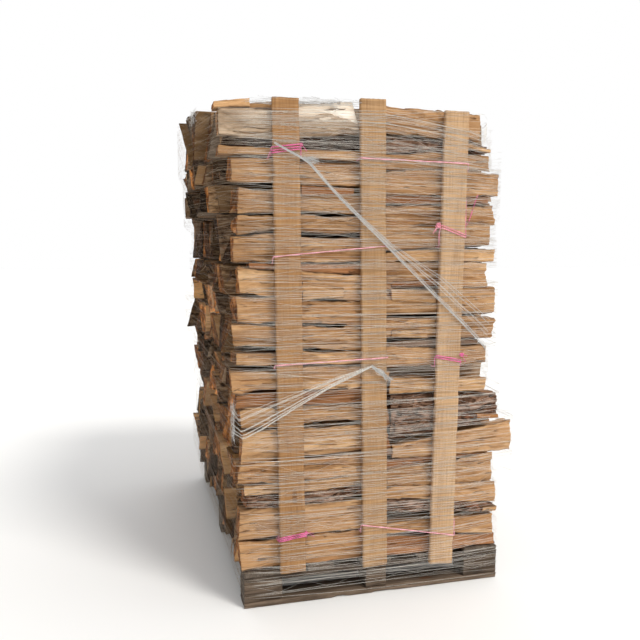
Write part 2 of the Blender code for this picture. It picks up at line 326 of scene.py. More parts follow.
def make_split():
    """The rough fibrous face of split wood. Grain coordinates run along the billet in X."""
    m, nt, p = new_material("split_wood", (0.50, 0.33, 0.19), 0.85)
    g, tint = attr(nt, "grain"), attr(nt, "tint", "Color")
    age = node(nt, "ShaderNodeAttribute", attribute_name="tint").outputs["Alpha"]
    warp = noise(nt, vmul(nt, g, (4.5, 11.0, 11.0)), detail=3)
    swirl = noise(nt, vmul(nt, g, (6.5, 14.0, 14.0)), detail=2)
    wob = node(nt, "ShaderNodeCombineXYZ", {"Y": math_(nt, "MULTIPLY", warp, 0.050), "Z": math_(nt, "MULTIPLY", swirl, 0.055)}).outputs[0]
    gw = node(nt, "ShaderNodeVectorMath", {0: g, 1: wob}, operation="ADD").outputs[0]
    broad = noise(nt, vmul(nt, gw, (2.2, 16, 16)), detail=3)
    fibre = noise(nt, vmul(nt, gw, (7, 150, 150)), detail=6, rough=0.65)
    fine = noise(nt, vmul(nt, gw, (24, 620, 620)), detail=3, rough=0.6)
    streak = noise(nt, vmul(nt, gw, (2.6, 64, 64)), detail=4, rough=0.6)
    rings = math_(nt, "SINE", math_(nt, "MULTIPLY", math_(nt, "ADD", length_of(nt, vmul(nt, attr(nt, "pith"), (0.0, 1.0, 1.0))), math_(nt, "MULTIPLY", warp, 0.022)), 1500.0))
    f = math_(nt, "ADD", math_(nt, "MULTIPLY", broad, 0.44), math_(nt, "MULTIPLY", fibre, 0.48))
    f = math_(nt, "ADD", f, math_(nt, "MULTIPLY", rings, 0.018))
    col = ramp(nt, f, [(0.26, (0.150, 0.076, 0.034)), (0.40, (0.275, 0.157, 0.076)), (0.52, (0.385, 0.240, 0.130)), (0.70, (0.500, 0.345, 0.205))])
    col = mix(nt, rampf(nt, streak, 0.60, 0.76, 0, 0.62), col, (0.100, 0.052, 0.025))
    red = noise(nt, vmul(nt, g, (2.0, 8, 8)), detail=3)
    col = mix(nt, rampf(nt, red, 0.52, 0.70, 0, 0.55), col, (0.235, 0.118, 0.052))
    pale = noise(nt, vmul(nt, gw, (3.4, 24, 24)), detail=3)
    col = mix(nt, rampf(nt, pale, 0.56, 0.68, 0, 0.45), col, (0.590, 0.430, 0.275))
    col = mix(nt, rampf(nt, fine, 0.30, 0.75, 0.0, 0.15), col, (0.60, 0.46, 0.31))
    crack = rampf(nt, noise(nt, vmul(nt, gw, (7.5, 105, 105)), detail=4, rough=0.62), 0.610, 0.675, 0, 1.0)
    col = mix(nt, math_(nt, "MULTIPLY", crack, 0.66), col, (0.058, 0.028, 0.013))
    col = mix(nt, 1.0, col, tint, "MULTIPLY")
    grey = ramp(nt, fibre, [(0.30, (0.16, 0.125, 0.092)), (0.50, (0.42, 0.335, 0.255)), (0.72, (0.66, 0.565, 0.45))])
    col = mix(nt, math_(nt, "MULTIPLY", age, rampf(nt, broad, 0.25, 0.55, 0.65, 1.0)), col, grey)
    # painted shade along the upper and lower edges, where each log meets the logs above and below it
    painted_edge_shade = math_(nt, "ADD", attr(nt, "edge", "Fac"), math_(nt, "MULTIPLY", math_(nt, "SUBTRACT", noise(nt, vmul(nt, g, (9, 20, 20)), detail=4), 0.5), 1.5))
    col = mix(nt, rampf(nt, painted_edge_shade, 0.42, 1.15, 0, 0.80), col, (0.085, 0.045, 0.024))
    nt.links.new(col, p.inputs["Base Color"])
    nt.links.new(rampf(nt, fibre, 0.3, 0.7, 0.92, 0.72), p.inputs["Roughness"])
    p.inputs["Specular IOR Level"].default_value = 0.22
    h = math_(nt, "ADD", math_(nt, "MULTIPLY", fibre, 1.0), math_(nt, "MULTIPLY", fine, 0.25))
    h = math_(nt, "SUBTRACT", h, rampf(nt, streak, 0.60, 0.74, 0, 0.8))
    h = math_(nt, "SUBTRACT", h, math_(nt, "MULTIPLY", crack, 0.9))
    bump(nt, p, h, 1.0, 0.0034)
    return m


def make_end():
    """A sawn end: growth rings round the pith, drying cracks along the radii, saw marks, bark at the rim."""
    m, nt, p = new_material("sawn_end", (0.46, 0.27, 0.12), 0.85)
    g, pith, tint = attr(nt, "grain"), attr(nt, "pith"), attr(nt, "tint", "Color")
    age = node(nt, "ShaderNodeAttribute", attribute_name="tint").outputs["Alpha"]
    flat = vmul(nt, pith, (0.0, 1.0, 1.0))
    warp = noise(nt, vmul(nt, g, (0, 22, 22)), detail=2)
    dist = math_(nt, "ADD", length_of(nt, flat), math_(nt, "MULTIPLY", warp, 0.016))
    ring = math_(nt, "SINE", math_(nt, "MULTIPLY", dist, 1900.0))
    ring2 = math_(nt, "SINE", math_(nt, "MULTIPLY", dist, 460.0))
    sep = node(nt, "ShaderNodeSeparateXYZ", {0: flat})
    ang = math_(nt, "ARCTAN2", sep.outputs[2], sep.outputs[1])
    gs = node(nt, "ShaderNodeSeparateXYZ", {0: g})
    rayv = node(nt, "ShaderNodeCombineXYZ", {"X": math_(nt, "MULTIPLY", ang, 15.0), "Y": math_(nt, "MULTIPLY", dist, 7.0), "Z": gs.outputs[0]}).outputs[0]
    rays = noise(nt, rayv, detail=4, rough=0.7)
    crackv = node(nt, "ShaderNodeCombineXYZ", {"X": math_(nt, "MULTIPLY", ang, 4.2), "Y": math_(nt, "MULTIPLY", dist, 9.0), "Z": gs.outputs[0]}).outputs[0]
    cr = math_(nt, "ABSOLUTE", math_(nt, "SUBTRACT", noise(nt, crackv, detail=2, rough=0.5), 0.5))
    crack = rampf(nt, cr, 0.004, 0.020, 1.0, 0.0)
    gate = rampf(nt, noise(nt, vmul(nt, g, (1, 34, 34)), detail=1), 0.46, 0.58, 0.0, 1.0)
    crack = math_(nt, "MULTIPLY", crack, gate)
    blot = noise(nt, vmul(nt, g, (3, 26, 26)), detail=4)
    f = math_(nt, "ADD", math_(nt, "MULTIPLY", blot, 0.62), math_(nt, "MULTIPLY", rays, 0.32))
    f = math_(nt, "ADD", f, math_(nt, "MULTIPLY", ring, 0.028))
    f = math_(nt, "ADD", f, math_(nt, "MULTIPLY", ring2, 0.018))
    col = ramp(nt, f, [(0.35, (0.034, 0.016, 0.007)), (0.44, (0.130, 0.062, 0.024)), (0.52, (0.275, 0.150, 0.066)), (0.63, (0.560, 0.370, 0.205))])
    dirt = noise(nt, vmul(nt, g, (1, 11, 11)), detail=3)
    col = mix(nt, rampf(nt, dirt, 0.46, 0.66, 0, 0.75), col, (0.075, 0.046, 0.030))
    col = mix(nt, 1.0, col, tint, "MULTIPLY")
    col = mix(nt, 1.0, col, (1.12, 0.86, 0.62), "MULTIPLY")
    col = mix(nt, math_(nt, "MULTIPLY", age, 0.7), col, ramp(nt, f, [(0.35, (0.105, 0.072, 0.046)), (0.65, (0.33, 0.245, 0.165))]))
    col = mix(nt, math_(nt, "MULTIPLY", crack, 0.92), col, (0.022, 0.012, 0.007))
    bark = ramp(nt, blot, [(0.35, (0.035, 0.024, 0.018)), (0.65, (0.13, 0.095, 0.07))])
    col = mix(nt, rampf(nt, attr(nt, "rim", "Fac"), 0.30, 0.50, 0.0, 1.0), col, bark)
    nt.links.new(col, p.inputs["Base Color"])
    nt.links.new(rampf(nt, blot, 0.3, 0.7, 0.95, 0.8), p.inputs["Roughness"])
    p.inputs["Specular IOR Level"].default_value = 0.18
    saw = math_(nt, "SINE", math_(nt, "MULTIPLY", math_(nt, "ADD", gs.outputs[1], math_(nt, "MULTIPLY", gs.outputs[2], 0.35)), 2600.0))
    h = math_(nt, "ADD", math_(nt, "MULTIPLY", rays, 0.9), math_(nt, "MULTIPLY", saw, 0.07))
    h = math_(nt, "SUBTRACT", math_(nt, "ADD", h, math_(nt, "MULTIPLY", ring, 0.06)), math_(nt, "MULTIPLY", crack, 1.4))
    bump(nt, p, h, 0.8, 0.0028)
    return m


def make_bark():
    m, nt, p = new_material("bark", (0.14, 0.11, 0.09), 0.95)
    g, tint = attr(nt, "grain"), attr(nt, "tint", "Color")
    furrow = noise(nt, vmul(nt, g, (14, 40, 40)), detail=5, rough=0.62, dist=1.5)
    scale = noise(nt, vmul(nt, g, (34, 80, 80)), detail=4, rough=0.6)
    patch = noise(nt, vmul(nt, g, (6, 18, 18)), detail=4)
    f = math_(nt, "ADD", math_(nt, "MULTIPLY", furrow, 0.7), math_(nt, "MULTIPLY", scale, 0.3))
    col = ramp(nt, f, [(0.38, (0.016, 0.009, 0.006)), (0.46, (0.095, 0.060, 0.041)), (0.55, (0.215, 0.150, 0.108)), (0.70, (0.36, 0.275, 0.215))])
    lichen = ramp(nt, scale, [(0.40, (0.19, 0.145, 0.12)), (0.62, (0.52, 0.44, 0.39))])
    col = mix(nt, rampf(nt, patch, 0.54, 0.66, 0, 0.55), col, lichen)
    inner = noise(nt, vmul(nt, g, (8, 22, 22)), detail=4)
    col = mix(nt, rampf(nt, inner, 0.60, 0.68, 0, 0.7), col, (0.200, 0.085, 0.042))
    col = mix(nt, 1.0, col, tint, "MULTIPLY")
    nt.links.new(col, p.inputs["Base Color"])
    nt.links.new(rampf(nt, f, 0.3, 0.7, 1.0, 0.85), p.inputs["Roughness"])
    p.inputs["Specular IOR Level"].default_value = 0.15
    bump(nt, p, f, 1.0, 0.0080)
    return m


def make_sawn(name, stops, dirt_col, dirt_amount, weather, ring_freq, fuzz):
    """Sawn boards. Grain X runs along the board, Y across its width, Z through its thickness."""
    m, nt, p = new_material(name, stops[2][1], 0.8)
    g, tint = attr(nt, "grain"), attr(nt, "tint", "Color")
    warp = noise(nt, vmul(nt, g, (1.6, 9, 9)), detail=3)
    kn = node(nt, "ShaderNodeTexVoronoi", {"Vector": vmul(nt, g, (3.1, 8.5, 4.0)), "Scale": 1.0, "Randomness": 1.0})
    knot = rampf(nt, kn.outputs["Distance"], 0.045, 0.115, 1.0, 0.0)
    halo = rampf(nt, kn.outputs["Distance"], 0.05, 0.40, 1.0, 0.0)
    across = node(nt, "ShaderNodeSeparateXYZ", {0: g})
    lines = math_(nt, "ADD", across.outputs[1], math_(nt, "MULTIPLY", across.outputs[2], 0.6))
    lines = math_(nt, "ADD", lines, math_(nt, "MULTIPLY", warp, 0.055))
    lines = math_(nt, "ADD", lines, math_(nt, "MULTIPLY", halo, 0.012))
    ring = math_(nt, "SINE", math_(nt, "MULTIPLY", lines, ring_freq))
    fibre = noise(nt, vmul(nt, g, (9, 210, 210)), detail=6, rough=0.66)
    broad = noise(nt, vmul(nt, g, (2.4, 13, 13)), detail=3)
    f = math_(nt, "ADD", math_(nt, "MULTIPLY", broad, 0.45), math_(nt, "MULTIPLY", fibre, 0.48))
    f = math_(nt, "ADD", f, math_(nt, "MULTIPLY", ring, 0.035))
    col = ramp(nt, f, stops)
    col = mix(nt, math_(nt, "MULTIPLY", knot, 0.75), col, (0.14, 0.062, 0.026))
    dirt = noise(nt, vmul(nt, g, (5, 17, 17)), detail=5, rough=0.62)
    col = mix(nt, rampf(nt, dirt, 0.50, 0.72, 0, dirt_amount), col, dirt_col)
    col = mix(nt, 1.0, col, tint, "MULTIPLY")
    if weather:
        crackn = noise(nt, vmul(nt, g, (3.5, 120, 120)), detail=3, rough=0.6)
        col = mix(nt, rampf(nt, crackn, 0.62, 0.70, 0, 0.85), col, (0.030, 0.022, 0.017))
    else:
        # the marks that the saw left across the board
        marks = noise(nt, vmul(nt, g, (210, 5, 5)), detail=4, rough=0.62, dist=0.3)
        col = mix(nt, rampf(nt, marks, 0.46, 0.66, 0, 0.46), col, tuple(0.42 * c for c in stops[1][1]))
        col = mix(nt, rampf(nt, marks, 0.36, 0.48, 0.30, 0), col, stops[3][1])
    # end grain, where the faces look along the board
    rim = attr(nt, "rim", "Fac")
    endc = ramp(nt, noise(nt, vmul(nt, g, (1, 260, 90)), detail=3), [(0.35, tuple(0.45 * c for c in stops[1][1])), (0.65, stops[2][1])])
    col = mix(nt, rampf(nt, rim, 0.45, 0.55, 0, 0.8), col, endc)
    nt.links.new(col, p.inputs["Base Color"])
    nt.links.new(rampf(nt, fibre, 0.3, 0.7, 0.9, 0.66), p.inputs["Roughness"])
    p.inputs["Specular IOR Level"].default_value = 0.25
    saw = math_(nt, "SINE", math_(nt, "MULTIPLY", math_(nt, "ADD", across.outputs[0], math_(nt, "MULTIPLY", warp, 0.010)), 1050.0))
    h = math_(nt, "ADD", math_(nt, "MULTIPLY", fibre, 1.0), math_(nt, "MULTIPLY", ring, 0.10))
    h = math_(nt, "ADD", h, math_(nt, "MULTIPLY", saw, 0.05))
    bump(nt, p, h, 0.7, fuzz)
    return m


def make_plastic(name, base, rough, stripe, spread):
    """Drawn plastic film: twine plies and net threads, with their lengthwise sheen painted into the colour as light and
    dark stripes, and worn patches.
    """
    m, nt, p = new_material(name, base, rough)
    g, tint = attr(nt, "grain"), attr(nt, "tint", "Color")
    s = node(nt, "ShaderNodeSeparateXYZ", {0: g})
    ply = math_(nt, "SINE", math_(nt, "ADD", math_(nt, "MULTIPLY", s.outputs[0], stripe), math_(nt, "MULTIPLY", s.outputs[1], 4 * math.pi)))
    spot = noise(nt, vmul(nt, g, (60, 3, 1)), detail=4)
    f = math_(nt, "ADD", math_(nt, "MULTIPLY", ply, 0.16), spot)
    # painted sheen: the dark and light stops below make stripes along the plies that stand in for light on the twisted
    # film
    dark = tuple(c * (1 - spread) for c in base)
    light = tuple(min(1.0, c * (1 + 0.45 * spread) + 0.10 * spread) for c in base)
    col = ramp(nt, f, [(0.34, dark), (0.50, base), (0.66, light)])
    col = mix(nt, 1.0, col, tint, "MULTIPLY")
    nt.links.new(col, p.inputs["Base Color"])
    nt.links.new(rampf(nt, spot, 0.3, 0.7, rough - 0.10, rough + 0.15), p.inputs["Roughness"])
    bump(nt, p, ply, 0.5, 0.0006)
    return m


def make_steel():
    m, nt, p = new_material("nail_steel", (0.16, 0.12, 0.10), 0.6)
    g = attr(nt, "grain")
    n = noise(nt, vmul(nt, g, (220, 220, 220)), detail=4)
    nt.links.new(ramp(nt, n, [(0.4, (0.09, 0.075, 0.07)), (0.6, (0.26, 0.12, 0.055))]), p.inputs["Base Color"])
    nt.links.new(rampf(nt, n, 0.3, 0.7, 0.45, 0.85), p.inputs["Roughness"])
    p.inputs["Metallic"].default_value = 0.7
    return m


SPLIT, END, BARK = make_split(), make_end(), make_bark()
WOOD = [SPLIT, END, BARK]
SLAT = make_sawn("slat_wood", [(0.28, (0.270, 0.155, 0.078)), (0.42, (0.395, 0.250, 0.138)), (0.54, (0.480, 0.320, 0.188)), (0.72, (0.590, 0.430, 0.275))],
                 (0.30, 0.175, 0.090), 0.50, False, 520.0, 0.0012)
PALLET = make_sawn("pallet_wood", [(0.28, (0.040, 0.029, 0.021)), (0.42, (0.105, 0.080, 0.060)), (0.54, (0.190, 0.150, 0.117)), (0.72, (0.340, 0.285, 0.235))],
                   (0.034, 0.026, 0.020), 0.8, True, 420.0, 0.0026)
TWINE = make_plastic("pink_twine", (0.80, 0.205, 0.320), 0.42, 900.0, 0.42)
NET = make_plastic("white_net", (0.90, 0.885, 0.84), 0.40, 600.0, 0.12)
STEEL = make_steel()


# ------------------------------------------------------------------ billets
def perimeter(poly, kinds, steps):
    """Points round a closed outline, with their edge kind, arc length and outward normal; corners are kept."""
    pts, kd, par, nrm = [], [], [], []
    n = len(poly)
    c = poly.mean(0)
    en = []
    for i in range(n):
        d = poly[(i + 1) % n] - poly[i]
        q = np.array([d[1], -d[0]])
        q /= np.linalg.norm(q) + 1e-12
        if q @ ((poly[i] + poly[(i + 1) % n]) / 2 - c) < 0:
            q = -q
        en.append(q)
    for i in range(n):
        a, b = poly[i], poly[(i + 1) % n]
        m = max(1, int(round(np.linalg.norm(b - a) / steps[i])))
        for k in range(m):
            par.append((i, k / m))
            pts.append(a + (b - a) * k / m)
            kd.append(kinds[i])
            q = en[i] + en[i - 1] if k == 0 else en[i]
            nrm.append(q / (np.linalg.norm(q) + 1e-12))
    pts = np.array(pts)
    s = np.r_[0, np.cumsum(np.linalg.norm(np.diff(pts, axis=0), axis=1))]
    return pts, np.array(kd), par, s, np.array(nrm)


SLATS = {"left": (-0.324, -0.3505, 0.125, 1.795), "middle": (-0.012, -0.039, 0.114, 1.808), "right": (0.254, 0.281, 0.092, 1.783)}
SLAT_W, SLAT_T = 0.095, 0.020


def slat_x(which, z):
    """Middle of a slat at height z."""
    x0, x1, z0, z1 = SLATS[which]
    return x0 + (x1 - x0) * (z - z0) / (z1 - z0)


BILLETS = []   # (side, y low, y high, z low, z high, outer x) of each, for the net to lie on


def billet(bag, poly_out, poly_in, kinds, x_out, x_in, seed, nx=5, step=0.012, fine=None, tint=(1, 1, 1), age=0.0,
           pith=None, rough=1.0, bulge=0.10, rings=(0.93, 0.55), tilt=None, torn=1.0, wave=0.0, inner_rings=()):
    """One split log lying along X. poly_out and poly_in are its outlines in (y, z) at its outer and inner ends."""
    rng = np.random.default_rng(seed)
    poly_out, poly_in = np.array(poly_out, float), np.array(poly_in, float)
    n = len(poly_out)
    steps = [step] * n
    for i in (fine or {}):
        steps[i] = fine[i]
    base, kd, par, s, nrm = perimeter((poly_out + poly_in) / 2, kinds, steps)
    m = len(base)

    def along(poly):
        return np.array([poly[i] + (poly[(i + 1) % n] - poly[i]) * t for i, t in par])

    po, pi_ = along(poly_out), along(poly_in)
    # bark sides are the round outside of the log
    swell = np.zeros(m)
    for i in range(n):
        if kinds[i]:
            length = np.linalg.norm(poly_out[(i + 1) % n] - poly_out[i])
            for k, (e, t) in enumerate(par):
                if e == i:
                    swell[k] = bulge * length * (4 * t * (1 - t) - 0.55)
    x = np.linspace(0, 1, nx + 1)
    x = np.concatenate([[0, 0.0035], x[1:-1], [0.9965, 1]])
    length = abs(x_in - x_out)
    ctr = base.mean(0)
    tl = tilt if tilt is not None else rng.uniform(-0.15, 0.15, 2)
    bow = rng.uniform(-0.0025, 0.0025, 2)
    twist = rng.uniform(-0.02, 0.02)
    sc = 1 + rng.uniform(-0.025, 0.015)
    T = x[:, None]
    P = po[None] * (1 - T[..., None]) + pi_[None] * T[..., None]
    c2 = P.mean(1, keepdims=True)
    rel = P - c2
    a = twist * (T - 0.5)[..., None]
    rel = np.concatenate([rel[..., :1] * np.cos(a) - rel[..., 1:] * np.sin(a), rel[..., :1] * np.sin(a) + rel[..., 1:] * np.cos(a)], -1)
    rel *= (1 + (sc - 1) * T)[..., None]
    P = c2 + rel + (np.sin(np.pi * T) * 1.0)[..., None] * bow
    X = T * length
    S = s[None, :] + 0 * T
    so = seed % 997
    if wave:
        # the upper and lower edges wander as the log tapers, swells and has chips broken off
        lo_z, hi_z = P[..., 1].min(1, keepdims=True), P[..., 1].max(1, keepdims=True)
        share = (P[..., 1] - lo_z) / (hi_z - lo_z + 1e-9)
        low_w = wave * (1.2 * vnoise(X * 6.0, 0.5, 0, so + 51) + 0.8 * vnoise(X * 21, 0.5, 0, so + 52) + 0.5 * vnoise(X * 70, 0.5, 0, so + 55))
        high_w = wave * (1.2 * vnoise(X * 6.0, 0.5, 0, so + 53) + 0.8 * vnoise(X * 21, 0.5, 0, so + 54) + 0.5 * vnoise(X * 70, 0.5, 0, so + 56))
        nick = smooth(0.35, 0.6, vnoise(X * 13, 2.5, 0, so + 57)) * 1.7 * wave
        P[..., 1] += low_w * (1 - share) + (high_w - nick) * share
        P[..., 0] += 0.7 * wave * vnoise(X * 5.0, share * 2, 0, so + 58)
    wav = 0.010 * vnoise(X * 4.0, S * 12, 0, so + 3)
    d_split = 0.0022 * fbm(X * 5.0, (S + wav) * 30, 0, so) + 0.0011 * fbm(X * 11.0, (S + wav) * 120, 0, so + 5, 2)
    ledge = vnoise(X * 3.4, (S + wav) * 34, 0, so + 9)
    d_split = d_split - torn * 0.0036 * smooth(0.10, 0.18, ledge) + torn * 0.0014 * smooth(0.30, 0.38, vnoise(X * 2.2 + 5, (S + wav) * 22, 0, so + 12))
    d_split = d_split - torn * 0.0022 * smooth(0.15, 0.22, vnoise(X * 9.0, (S + wav) * 40, 0, so + 14))
    fur = np.abs(fbm(X * 11.0, (S + wav) * 46, 0, so + 21, 3))
    d_bark = 0.0030 - 0.0085 * (1 - smooth(0.0, 0.22, fur)) + 0.0018 * fbm(X * 40, S * 60, 0, so + 25, 2)
    D = np.where(kd[None, :] > 0, d_bark, d_split) * rough + swell[None, :]
    edge = np.ones(len(x))
    edge[0] = edge[-1] = 0.0
    inner = 0.0014 * (1 - edge)[:, None]
    P = P + (D - inner)[..., None] * nrm[None]
    way = 1.0 if x_in > x_out else -1.0
    X3 = x_out + way * X + (tl[0] * (P[..., 0] - ctr[0]) + tl[1] * (P[..., 1] - ctr[1]))
    ragged = 0.0012 * vnoise(S[0] * 260, 0, 0, so + 31) + 0.0007 * vnoise(S[0] * 700, 0, 0, so + 32)
    X3[:2] += ragged[None, :]
    X3[-2:] += ragged[None, ::-1]
    side = np.concatenate([X3[..., None], P], -1)
    off = rng.uniform(0, 40, 3)
    if pith is None:
        ang = rng.uniform(0, 2 * math.pi)
        pith = ctr + rng.uniform(0.05, 0.14) * np.array([math.cos(ang), math.sin(ang)])
    caps = []
    for cap_rings, row in ((rings, 0), (inner_rings, len(x) - 1)):
        edge_ring = side[row]
        mid = edge_ring.mean(0)
        for r in cap_rings:
            ring = mid + (edge_ring - mid) * r
            ring[:, 0] += 0.0016 * vnoise(ring[:, 1] * 90, ring[:, 2] * 90, 0, so + 41)
            caps.append(ring)
        caps.append(mid[None])
    verts = np.concatenate([side.reshape(-1, 3), *caps])
    rows = len(x)
    quads = loft((rows, m))
    kq = np.tile(kd, rows - 1)
    qm = np.where(kq > 0, 2, 0)
    tris, capq = [], []
    start = rows * m
    i = np.arange(m)
    j = (i + 1) % m
    for end, row, ncap in ((0, 0, len(rings)), (1, rows - 1, len(inner_rings))):
        prev = row * m
        for r in range(ncap):
            cur = start + r * m
            qd = np.stack([prev + i, prev + j, cur + j, cur + i], -1)
            capq.append(qd[:, ::-1] if end == 0 else qd)
            prev = cur
        centre = start + ncap * m
        tr = np.stack([prev + i, prev + j, np.full(m, centre)], -1)
        tris.append(tr[:, ::-1] if end == 0 else tr)
        start = centre + 1
    # turn all the faces out
    p0, p1, p2, p3 = (verts[quads[:, k]] for k in range(4))
    nn = np.cross(p2 - p0, p3 - p1)
    outw = ((p0 + p2) / 2)[:, 1:] - np.repeat(P.mean(1)[:-1], m, axis=0)
    flip = (nn[:, 1:] * outw).sum() < 0
    if flip:
        quads = quads[:, ::-1]
    capq, tris = np.concatenate(capq), np.concatenate(tris)
    if flip:
        capq, tris = capq[:, ::-1], tris[:, ::-1]
    rim = np.zeros(len(verts))
    rim[: rows * m] = np.tile((kd > 0).astype(float), rows)
    g = verts + off
    pv = verts.copy()
    pv[:, 1] -= pith[0]
    pv[:, 2] -= pith[1]
    shade = rng.uniform(0.93, 1.07)
    t4 = (tint[0] * shade, tint[1] * shade, tint[2] * shade, age)
    # closeness to the upper and lower edge of each log, which drives the painted shade where the logs meet
    top_z, low_z = P[..., 1].max(1, keepdims=True), P[..., 1].min(1, keepdims=True)
    gapd = np.minimum(top_z - P[..., 1], P[..., 1] - low_z)
    edge_shade_weight = np.zeros(len(verts))
    edge_shade_weight[: rows * m] = np.exp(-gapd / 0.0075).ravel()
    bag.add(verts, np.concatenate([quads, capq]), tris, np.concatenate([qm, np.full(len(capq), 1)]), 1, t4, g, pv, rim, edge_shade_weight)
    lo, hi = verts.min(0), verts.max(0)
    BILLETS.append((-1 if x_out < x_in else 1, lo[1], hi[1], lo[2], hi[2], lo[0] if x_out < x_in else hi[0]))
    return seed


# Front rows as seen: course, lower z and upper z at the outer end, the same at the inner end, outer end x,
# recess from the front plane, look. Looks: n plain, l light, b bark, r reddish, w weathered, d dark as painted shade in
# a gap, k black bark darkened further as painted shade under the top log.
F_LEFT = [
    (1, .136, .246, .132, .247, -.511, .004, "n"),
    (2, .252, .360, .252, .366, -.513, .004, "n"),
    (3, .364, .411, .369, .418, -.486, .012, "b"), (3, .413, .453, .421, .458, -.491, .004, "l"), (3, .458, .526, .462, .547, -.519, .003, "n"),
    (4, .530, .645, .551, .653, -.502, .000, "l"),
    (5, .664, .728, .663, .722, -.507, .006, "n"), (5, .732, .781, .727, .781, -.519, .009, "r"),
    (6, .792, .859, .793, .868, -.537, .002, "n"),
    (7, .881, .931, .876, .916, -.522, .004, "l"), (7, .954, 1.025, .925, 1.005, -.528, .003, "n"),
    (8, 1.032, 1.124, 1.012, 1.098, -.517, .004, "n"),
    (9, 1.136, 1.221, 1.103, 1.190, -.506, .001, "l"), (9, 1.224, 1.237, 1.196, 1.236, -.470, .010, "r"),
    (10, 1.241, 1.333, 1.250, 1.327, -.526, .006, "n"), (10, 1.344, 1.399, 1.343, 1.404, -.515, .004, "n"),
    (11, 1.413, 1.490, 1.411, 1.474, -.514, .005, "n"), (11, 1.519, 1.598, 1.512, 1.592, -.533, .003, "n"),
    # the k piece is bark darkened further as painted shade under the weathered top log
    (12, 1.606, 1.630, 1.596, 1.627, -.574, .006, "n"), (12, 1.632, 1.662, 1.630, 1.690, -.555, .024, "k"), (12, 1.661, 1.754, 1.690, 1.772, -.573, .000, "w"),
]
F_RIGHT = [
    (1, .134, .176, .134, .216, .494, .006, "r"), (1, .182, .256, .222, .262, .485, .004, "n"),
    (2, .266, .296, .305, .352, .488, .012, "b"), (2, .302, .388, .357, .400, .487, .002, "n"),
    (3, .398, .503, .406, .468, .473, .004, "n"), (3, .505, .510, .472, .508, .440, .012, "r"),
    (4, .516, .630, .514, .566, .549, .000, "n"),
    (5, .638, .738, .572, .748, .488, .006, "b"),
    (6, .752, .800, .757, .818, .436, .004, "l"),
    # the thin d piece is tinted dark as painted shade in the gap between courses 7 and 8
    (7, .858, .925, .857, .927, .440, .004, "n"), (7, .929, .951, .931, .953, .412, .016, "d"),
    (8, .958, 1.037, .959, 1.037, .465, .002, "n"),
    (9, 1.048, 1.145, 1.046, 1.145, .466, .000, "l"),
    (10, 1.155, 1.238, 1.150, 1.238, .431, .006, "n"), (10, 1.243, 1.291, 1.243, 1.280, .460, .004, "l"),
    (11, 1.301, 1.376, 1.285, 1.374, .440, .003, "n"), (11, 1.380, 1.456, 1.376, 1.447, .456, .008, "n"), (11, 1.458, 1.484, 1.450, 1.485, .437, .020, "r"),
    (12, 1.486, 1.569, 1.488, 1.567, .467, .001, "n"),
    (13, 1.577, 1.634, 1.573, 1.625, .428, .003, "n"), (13, 1.644, 1.674, 1.631, 1.690, .428, .022, "b"), (13, 1.681, 1.777, 1.695, 1.801, .388, .002, "n"),
]
LOOKS = {
    # d: a dark tint used as painted shade in the gap between courses 7 and 8 on the right
    "n": (1.42, 1.27, 1.07), "l": (1.56, 1.44, 1.24), "b": (1.22, 1.00, 0.88), "r": (1.00, 0.70, 0.50), "w": (1.98, 2.10, 2.26),"d": (0.50, 0.38, 0.31),
    # k: black bark, darkened further as painted shade under the top log on the left
    "o": (1.45, 1.12, 0.78), "t": (2.55, 3.40, 4.90), "k": (0.30, 0.25, 0.23),
}
TWINE_Z = {-1: (0.2475, 0.8720, 1.2380, 1.5995), 1: (0.2630, 0.8550, 1.2960, 1.4715, 1.5715)}


def stations(name):
    """y, lowest and highest z, and outer x of a course's solid at each of its stations."""
    v = np.array([p.co for p in NODES[name].data.vertices])
    ys = np.unique(np.round(v[:, 1], 4))
    rows = []
    for y in ys:
        w = v[np.abs(v[:, 1] - y) < 2e-4]
        rows.append((y, w[:, 2].min(), w[:, 2].max(), w[:, 0].min(), w[:, 0].max()))
    return np.array(rows)


